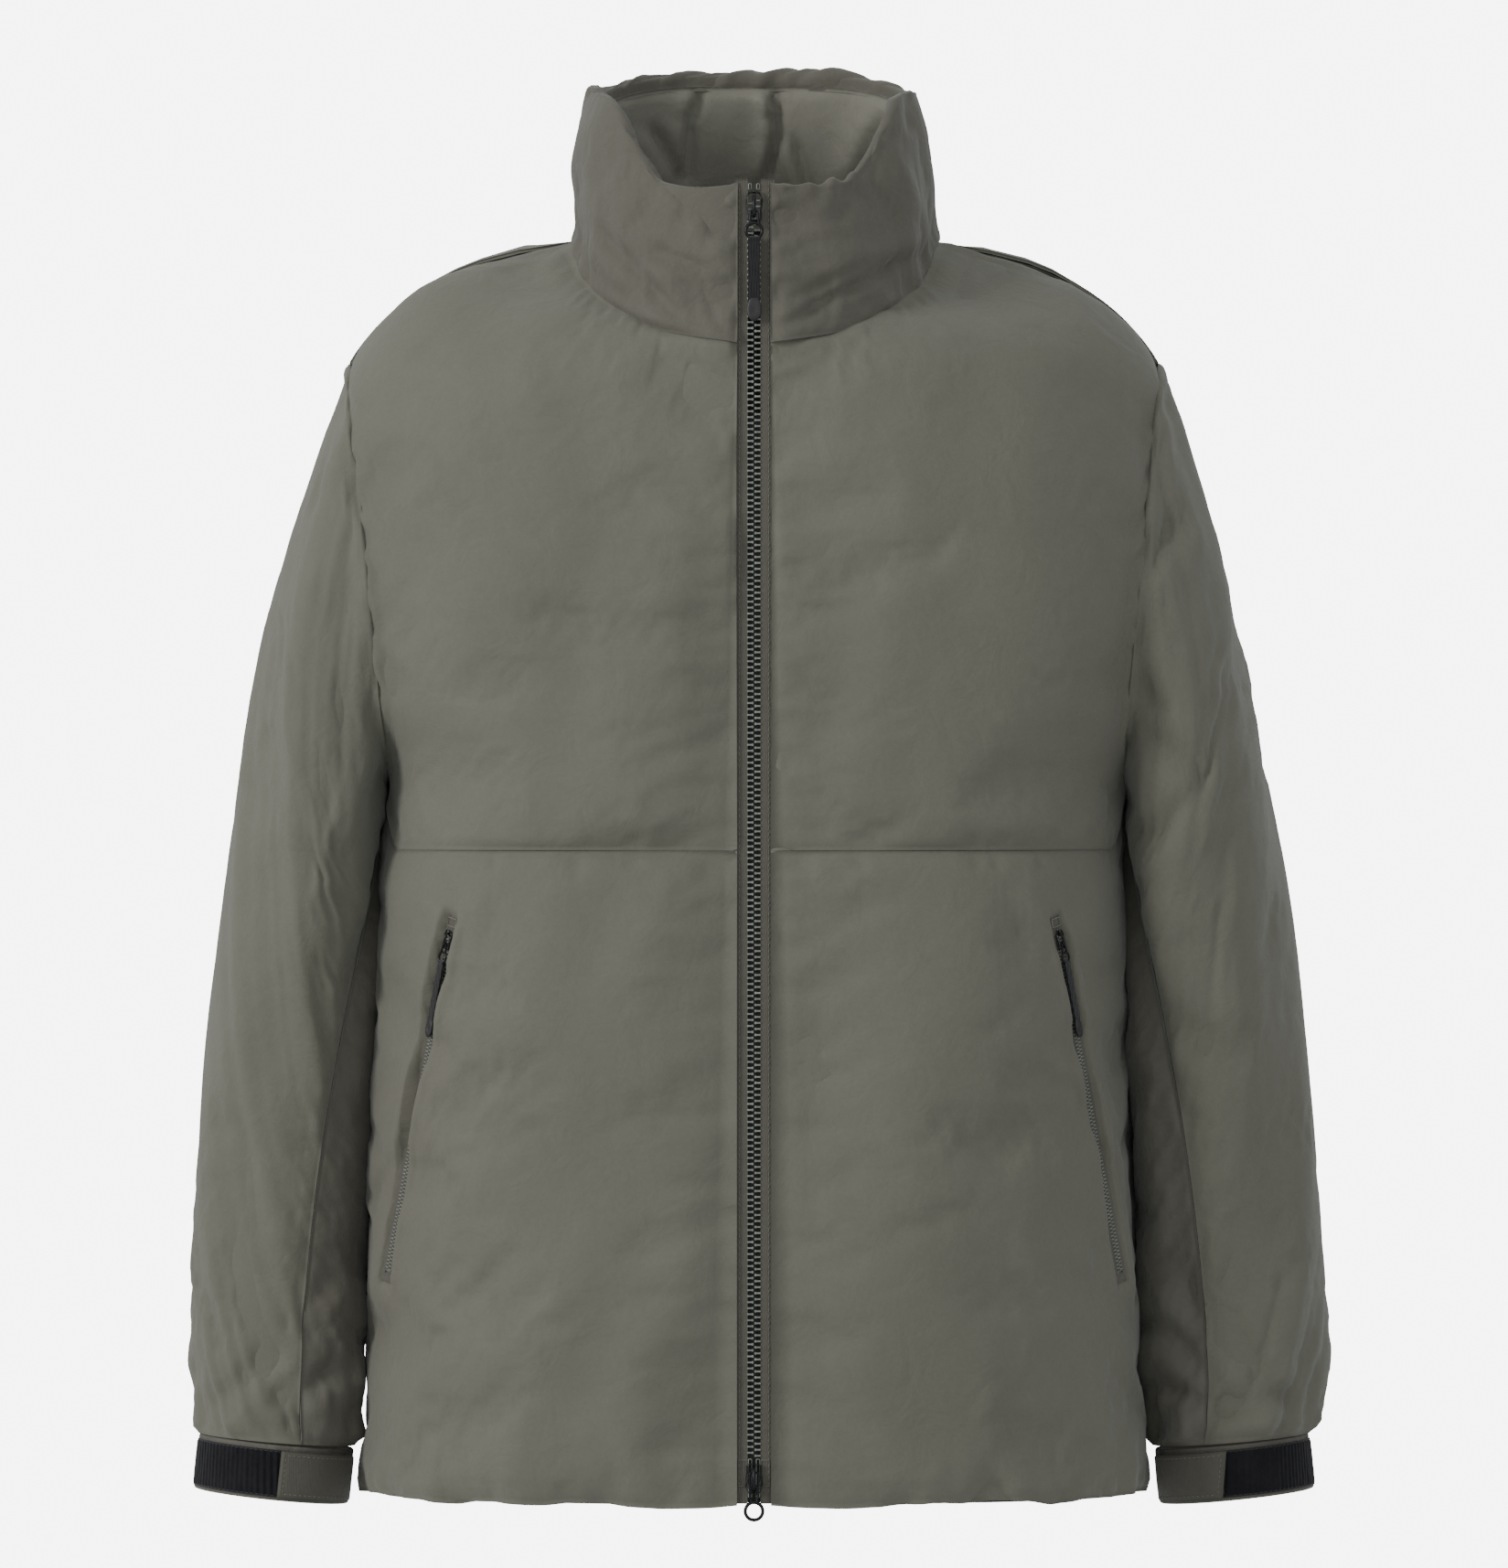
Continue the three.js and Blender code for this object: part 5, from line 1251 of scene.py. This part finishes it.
def slab(outline, y0, y1, r, rings=4):
    """An outline in x and z with rounded edges, between two y values: rings set in by a quarter circle's rule."""
    outline = np.asarray(outline, float)
    after, before = np.roll(outline, -1, 0), np.roll(outline, 1, 0)
    tangent = after - before
    normal = np.stack([tangent[:, 1], -tangent[:, 0]], -1)
    normal /= np.maximum(np.linalg.norm(normal, axis=1, keepdims=True), 1e-9)
    area = np.sum(outline[:, 0] * after[:, 1] - after[:, 0] * outline[:, 1])
    normal *= 1 if area > 0 else -1
    turn = np.linspace(0, math.pi / 2, rings)
    inset = np.concatenate([r * (1 - np.sin(turn)), r * (1 - np.sin(turn[::-1]))])
    level = np.concatenate([y0 + r * (1 - np.cos(turn)), y1 - r * (1 - np.cos(turn[::-1]))])
    n = len(outline)
    layers = [np.stack([outline[:, 0] - normal[:, 0] * d, np.full(n, y), outline[:, 1] - normal[:, 1] * d], -1)
              for d, y in zip(inset, level)]
    points = np.concatenate(layers)
    k = np.arange(n)
    faces = [np.stack([i * n + k, i * n + (k + 1) % n, (i + 1) * n + (k + 1) % n, (i + 1) * n + k], 1)
             for i in range(len(layers) - 1)]
    for base in (0, (len(layers) - 1) * n):
        middle = len(points)
        points = np.concatenate([points, points[base:base + n].mean(0, keepdims=True)])
        faces.append(np.stack([base + k, base + (k + 1) % n, np.full(n, middle), np.full(n, middle)], 1))
    return points, np.concatenate(faces)


def wire(path, radius, closed=False, sides=10):
    """A round wire along a path, with rings square to it and fans at its ends."""
    path = np.asarray(path, float)
    ahead = (np.roll(path, -1, 0) - np.roll(path, 1, 0)) if closed else np.gradient(path, axis=0)
    ahead /= np.linalg.norm(ahead, axis=1, keepdims=True)
    up = np.array([0, 1.0, 0]) if abs(ahead[:, 1]).max() < 0.9 else np.array([1.0, 0, 0])
    a = np.cross(ahead, up)
    a /= np.linalg.norm(a, axis=1, keepdims=True)
    b = np.cross(ahead, a)
    angle = np.arange(sides) * 2 * math.pi / sides
    radius = np.broadcast_to(radius, len(path))
    ring = path[:, None] + radius[:, None,
        None] * (np.cos(angle)[None, :, None] * a[:, None] + np.sin(angle)[None, :, None] * b[:, None])
    n = len(path)
    i, j = np.meshgrid(np.arange(n if closed else n - 1), np.arange(sides), indexing="ij")
    i, j = i.ravel(), j.ravel()
    faces = np.stack([i * sides + j, i * sides + (j + 1) % sides, (i + 1) % n * sides + (j + 1) % sides,
        (i + 1) % n * sides + j], 1)
    points = ring.reshape(-1, 3)
    if not closed:
        k = np.arange(sides)
        for base, tip in ((0, path[:1]), ((n - 1) * sides, path[-1:])):
            middle = len(points)
            points = np.concatenate([points, tip])
            faces = np.concatenate([faces,
                np.stack([base + k, base + (k + 1) % sides, np.full(sides, middle), np.full(sides, middle)], 1)])
    return points, faces


def joined(*pieces):
    """Several shapes as one table of points and one of faces."""
    points, faces, start = [], [], 0
    for p, f in pieces:
        points.append(p)
        faces.append(f + start)
        start += len(p)
    return np.concatenate(points), np.concatenate(faces)


def trim(name, shape, place, body, replaced, material, smooth_shade=True):
    """A small hard piece: its shape put in place, made outward, and given its material, body and node."""
    points, faces = shape
    obj = new_mesh(name, place(points) * MM, faces, smooth=smooth_shade)
    bm = bmesh.new()
    bm.from_mesh(obj.data)
    bmesh.ops.remove_doubles(bm, verts=bm.verts[:], dist=1e-7)
    bmesh.ops.dissolve_degenerate(bm, edges=bm.edges[:], dist=1e-7)
    bmesh.ops.recalc_face_normals(bm, faces=bm.faces[:])
    bm.to_mesh(obj.data)
    bm.free()
    made_of(obj, material)
    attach(obj, body)
    if replaced:
        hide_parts(*replaced)
    return obj


def rounded_outline(points, r, steps=5):
    """A polygon whose corners are cut by arcs: each corner becomes a quadratic curve between two set-back points."""
    p = np.asarray(points, float)
    out = []
    for a, b, c in zip(np.roll(p, 1, 0), p, np.roll(p, -1, 0)):
        u, v = (a - b) / np.linalg.norm(a - b), (c - b) / np.linalg.norm(c - b)
        start, end = b + u * r, b + v * r
        t = np.linspace(0, 1, steps)[:, None]
        out.append((1 - t) ** 2 * start + 2 * t * (1 - t) * b + t**2 * end)
    return np.concatenate(out)


def zip_teeth(half_in, half_out, thick, z0, z1, pitch, side):
    """Teeth of one half: each a narrow neck on the tape and a wider head past the middle line."""
    outline = np.array([(half_out, -0.3), (half_in + 0.5, -0.23), (half_in - 0.1, -0.42), (half_in - 0.75, -0.34),
        (half_in - 0.95, 0),
                        (half_in - 0.75, 0.34), (half_in - 0.1, 0.42), (half_in + 0.5, 0.23), (half_out, 0.3)])
    outline[:, 1] *= pitch * 0.56
    n = len(outline)
    y = np.array([-thick / 2, -thick / 2 + 0.22, thick / 2 - 0.22, thick / 2])
    inset = np.array([0.86, 1, 1, 0.86])
    middle = outline.mean(0)
    layers = np.concatenate([np.stack([mixed(middle[0], outline[:, 0], k), np.full(n, h),
        mixed(middle[1], outline[:, 1], k)], -1)
                             for k, h in zip(inset, y)])
    k = np.arange(n)
    sides_f = np.concatenate([np.stack([i * n + k, i * n + (k + 1) % n, (i + 1) * n + (k + 1) % n, (i + 1) * n + k],
        1) for i in range(3)])
    fan = np.array([[0, 1, 7, 8], [1, 2, 6, 7], [2, 3, 5, 6], [3, 4, 5, 5]])
    one = np.concatenate([sides_f, fan, fan[:, ::-1] + 3 * n])
    at = np.arange(z0 + (0 if side > 0 else pitch / 2), z1, pitch)
    points = layers[None] + np.stack([0 * at, 0 * at, at], -1)[:, None]
    faces = one[None] + (np.arange(len(at)) * 4 * n)[:, None, None]
    points[..., 0] *= side
    return points.reshape(-1, 3), faces.reshape(-1, 4)


def bar(x0, x1, y0, y1, z0, z1, r=0.2):
    return slab(rounded_outline([(x0, z0), (x1, z0), (x1, z1), (x0, z1)], min(r * 2, (x1 - x0) / 3, (z1 - z0) / 3)),
        y0, y1, min(r, (y1 - y0) / 2.2))


def slider_shape(k, thick):
    """Two shield-shaped plates, the wedge between them, and the arched bail that the puller hangs from."""
    w, l = 4.8 * k, 8 * k
    shield = rounded_outline([(-w * 0.62, l), (w * 0.62, l), (w, l * 0.45), (w * 0.72, -l * 0.35), (w * 0.78, -l),
        (-w * 0.78, -l),
                              (-w * 0.72, -l * 0.35), (-w, l * 0.45)], 1.1 * k)
    face, skin = thick / 2 + 0.3, 1.4 * k
    t = np.linspace(0, 1, 22)
    arch = np.stack([0 * t, -face - skin * 0.6 - 3.1 * k * np.sin(math.pi * t) ** 0.45, mixed(-5.4 * k, 5.4 * k, t)],
        -1)
    rails = [wire(np.array([(s * w * 0.9, 0, l * 0.5), (s * w * 0.86, 0, l * 0.1), (s * w * 0.76, 0, -l * 0.4),
        (s * w * 0.76, 0, -l * 0.9)])
                  + np.array([0, y * (face + 0.1), 0]), 0.5 * k) for s in (-1, 1) for y in (-1, 1)]
    return joined(slab(shield, -face - skin, -face, 0.45 * k), slab(shield, face, face + skin, 0.45 * k),
                  bar(-0.8 * k, 0.8 * k, -face - 0.2, face + 0.2, l * 0.35, l * 0.95), wire(arch, 1.05 * k, sides=12),
                  *rails)


def puller_shape(k, length):
    """A cast puller: a top bar in the bail, two legs that part below a small web, and a round eye at the end."""
    r = 4.3 * k
    turn = np.linspace(0, 2 * math.pi, 41)[:-1]
    eye = np.stack([r * np.cos(turn), 0 * turn, -length + r + r * np.sin(turn)], -1)
    neck = -length + 2 * r
    legs = [wire(np.array([(s * 1.9 * k, 0, 0.0), (s * 2.0 * k, 0, neck * 0.45), (s * 2.7 * k, 0, neck - 0.5 * k)]),
        0.72 * k) for s in (-1, 1)]
    web = bar(-2.2 * k, 2.2 * k, -0.6 * k, 0.6 * k, neck - 0.6 * k, neck * 0.4, 0.25 * k)
    return joined(wire(eye, 0.85 * k, True, 12),
        wire(np.array([(-1.9 * k, 0, 0), (0, 0, 0), (1.9 * k, 0, 0.0)]), 0.72 * k), *legs, web)


def strap_shape(half, thick, length):
    """Webbing folded round the ring's lower bar: its side view is a closed strip, swept across its width."""
    eye = thick * 1.35
    turn = np.linspace(-0.25 * math.pi, 1.25 * math.pi, 20)
    y = np.concatenate([[thick], eye * np.cos(turn), [-thick], [-thick, -thick * 0.9, thick * 0.9, thick]])
    z = np.concatenate([[-2.2], eye * np.sin(turn), [-2.2], [-length + 0.5, -length, -length, -length + 0.5]])
    x = np.linspace(-half, half, 13)
    pinch = 1 - 0.12 * np.abs(x / half) ** 6
    rib = 1 + 0.05 * np.cos(np.arange(13) * math.pi)
    points = np.stack([np.stack([np.full(len(y), xi), y * p * r, z], -1) for xi, p, r in zip(x, pinch, rib)])
    m = len(y)
    i, j = np.meshgrid(np.arange(12), np.arange(m), indexing="ij")
    i, j = i.ravel(), j.ravel()
    faces = np.stack([i * m + j, (i + 1) * m + j, (i + 1) * m + (j + 1) % m, i * m + (j + 1) % m], 1)
    points = points.reshape(-1, 3)
    k = np.arange(m)
    for base in (0, 12 * m):
        middle = len(points)
        points = np.concatenate([points, points[base:base + m].mean(0, keepdims=True) * [1, 1, 1]])
        faces = np.concatenate([faces,
            np.stack([base + k, base + (k + 1) % m, np.full(m, middle), np.full(m, middle)], 1)])
    return points, faces


def pull_end_shape(k, top, length):
    """Moulded grip: a tongue that widens to a round end, thicker in the middle, with a hollow for the thumb."""
    w = 3.9 * k
    s, q = np.meshgrid(np.linspace(0, 1, 26), np.linspace(0, 2 * math.pi, 33)[:-1], indexing="ij")
    wide = w * np.minimum(mixed(0.72, 1.0, smooth(0, 0.4, s)),
        np.sqrt(np.maximum(1 - np.clip((s - 0.55) / 0.45, 0, 1) ** 2, 0.0004)))
    deep = 1.6 * k * mixed(0.75, 1.0,
        smooth(0, 0.5, s)) * np.sqrt(np.maximum(1 - np.clip((s - 0.7) / 0.3, 0, 1) ** 2, 0.0004))
    x = wide * np.sign(np.cos(q)) * np.abs(np.cos(q)) ** 0.7
    y = deep * np.sign(np.sin(q)) * np.abs(np.sin(q)) ** 0.7
    z = top - length * s
    dent = 0.7 * k * np.exp(-(x / (2.0 * k)) ** 2 - ((s - 0.55) / 0.2) ** 2)
    y = np.where(y < 0, y + dent, y)
    points = np.stack([x, y, z], -1)
    n, m = s.shape
    i, j = np.meshgrid(np.arange(n - 1), np.arange(m), indexing="ij")
    i, j = i.ravel(), j.ravel()
    faces = np.stack([i * m + j, i * m + (j + 1) % m, (i + 1) * m + (j + 1) % m, (i + 1) * m + j], 1)
    points = points.reshape(-1, 3)
    kk = np.arange(m)
    for base in (0, (n - 1) * m):
        middle = len(points)
        points = np.concatenate([points, points[base:base + m].mean(0, keepdims=True)])
        faces = np.concatenate([faces,
            np.stack([base + kk, base + (kk + 1) % m, np.full(m, middle), np.full(m, middle)], 1)])
    return points, faces


def puller(prefix, suffix, place, z, k, thick, ring, strap, end):
    """Slider, ring, webbing and moulded end on three bodies, the webbing and the end sharing one, hanging straight down
    at rest.
    """
    axis_y, axis_z = -(thick / 2 + 0.3 + 2.7 * k), -2.8 * k

    def at(dy, dz):
        return lambda p: place(p + np.array([0, dy, dz]))

    trim(f"{prefix}_slider{suffix}_metal", slider_shape(k, thick), at(0, z), f"{prefix}_slider{suffix}",
        [f"{prefix}_slider{suffix}"], SLIDER)
    trim(f"{prefix}_ring{suffix}_wire", puller_shape(k, ring), at(axis_y, z + axis_z),
         f"{prefix}_ring{suffix}", [f"{prefix}_ring{suffix}"], WIRE)
    trim(f"{prefix}_webbing{suffix}_strap", strap_shape(3.2 * k, 1.1 * k, strap), at(axis_y, z + axis_z - ring),
         f"{prefix}_pull{suffix}", [f"{prefix}_webbing{suffix}"], WEBBING)
    trim(f"{prefix}_pull_end{suffix}_grip", pull_end_shape(k, -strap - 0.3 + 1.2, end + 1.2),
        at(axis_y, z + axis_z - ring),
         f"{prefix}_pull{suffix}", [f"{prefix}_pull_end{suffix}"], RUBBER)


for name, side in SIDES:
    x, z = np.meshgrid(np.linspace(3.4, 10.6, 12), np.linspace(0.8, ZIP_TOP + 4, 362), indexing="ij")
    wave = 0.12 * noise(z / 6, x / 30, 97 + side) * smooth(5, 10, x) + 0.1 * np.cos((x - 3.4) * 4.4)
    x = x + 0.25 * noise(z / 24, x * 0, 98 + side) * smooth(9, 10.6, x)
    tape = zip_place(np.stack([side * x, -0.4 + wave * 0.6, z], -1))
    thin_cloth(f"front_tape_{name}_weave", tape, np.broadcast_to(np.array([0, -1.0, 0]), tape.shape), 0.7, "jacket",
        [f"front_tape_{name}"],
               TAPE).data.materials[0] = TAPE
    trim(f"front_chain_{name}_teeth", zip_teeth(1.0, 3.6, 2.3, 26.2, ZIP_TOP - 7, 3.2, side), zip_place, "jacket",
        [f"front_chain_{name}"],
         TEETH, False)
    x0, x1 = sorted((side * 1.2, side * 3.2))
    trim(f"front_stop_{name}_clip", bar(x0, x1, -1.25, 1.25, ZIP_TOP - 2, ZIP_TOP + 1.5, 0.4), zip_place, "jacket",
        [f"front_stop_{name}"], TEETH)
    x0, x1 = sorted((side * 1.0, side * 3.2))
    trim(f"front_pin_{name}_bar", bar(x0, x1, -1, 1, 4, 24.7, 0.4), zip_place, "jacket", [f"front_pin_{name}"], TEETH)
    x0, x1 = sorted((side * 3.5, side * 8.4))
    trim(f"front_film_{name}_sheet", bar(x0, x1, -1.1, -0.7, 10, 24, 0.15), zip_place, "jacket",
        [f"front_film_{name}"], FILM)
    line_z = np.linspace(6, ZIP_TOP + 2, 500)
    line = zip_place(np.stack([np.full(500, side * 8.0), np.full(500, -0.45), line_z], -1))
    stitches(f"zip_stitches_{name}", line, np.broadcast_to([0, -1.0, 0.0], (500, 3)), "jacket", THREAD, 2.6, 3.3, 0.26)

puller("front", "_top", zip_place, ZIP_TOP - 11, 1.0, 2.4, 15.0, 33.0, 11.0)
BOTTOM_Z = 14.0
trim("front_slider_bottom_metal", (lambda s: (s[0] * [1, 1, -1], s[1]))(slider_shape(1.0, 2.4)),
    lambda p: zip_place(p + [0, 0, BOTTOM_Z]),
     "front_slider_bottom", ["front_slider_bottom"], SLIDER)
a = np.linspace(0, 2 * math.pi, 49)[:-1]
ring_flat = np.stack([4.65 * np.cos(a), 0 * a, -20 + 4.65 * np.sin(a)], -1)
neck_bar = rounded_outline([(-2.6, 0.4), (2.6, 0.4), (2.6, -11.5), (1.6, -15.6), (-1.6, -15.6), (-2.6, -11.5)], 1.0)
trim("front_pull_bottom_ring",
    joined(wire(ring_flat, 0.95, True, 12),
        wire(np.stack([neck_bar[:, 0] * 0.85, 0 * neck_bar[:, 0], neck_bar[:, 1]], -1), 0.62, True)),
     lambda p: zip_place(p + [0, -(1.2 + 0.3 + 2.7), BOTTOM_Z + 2.8]), "front_pull_bottom", ["front_pull_bottom"], WIRE)

# ---------------------------------------------------------------------------------------------------
# Hand pockets
# A narrow zip in a slanted slot of each lower front, between two turned-in lips of the shell. A pale
# patch covers its upper end, and its slider has the same ring, webbing and grip as the front zip.
# ---------------------------------------------------------------------------------------------------
GARAGE = cloth("garage_patch", srgb(150, 150, 140), srgb(128, 127, 116), 0.7, 6000.0, 0.0001, (300.0, 0.0001), 0.2,
    "Object", 0.4)
for name, side in SIDES:
    def pocket_place(p, side=side):
        """From the pocket zip's own frame to the jacket's; the right one is the left one's mirror image."""
        q = POCKET[0] + (p[..., :1] * side) * POCKET[1] + p[..., 1:2] * POCKET[2] + p[..., 2:] * POCKET[3]
        return q * np.array([side, 1, 1])

    x, z = np.meshgrid(np.linspace(-6.7, 6.7, 14), np.linspace(-101, 101, 120), indexing="ij")
    flat = pocket_place(np.stack([x, 0.1 * np.cos(x * 4.4) - 0.35, z], -1))
    outward_n = np.broadcast_to(pocket_place(np.array([[0, -1.0, 0]])) - pocket_place(np.zeros((1, 3))), flat.shape)
    thin_cloth(f"pocket_tape_{name}_weave", flat, outward_n, 0.6, "jacket", [f"pocket_tape_{name}"], TAPE)
    chain = joined(*(zip_teeth(0.8, 2.3, 1.8, -94, 95, 2.0, s) for s in (1, -1)),
        bar(-2.1, 2.1, -0.9, 0.9, -96.5, -94.5, 0.3))
    trim(f"pocket_chain_{name}_teeth", chain, pocket_place, "jacket", [f"pocket_chain_{name}"], TEETH, False)
    trim(f"pocket_garage_{name}_patch", bar(-3.4, 3.4, -1.2, -0.7, 96.2, 100.8, 0.2), pocket_place, "jacket",
        [f"pocket_garage_{name}"], GARAGE)
    puller("pocket", f"_{name}", pocket_place, 89.0, 0.66, 1.8, 11.0, 32.0, 9.0)
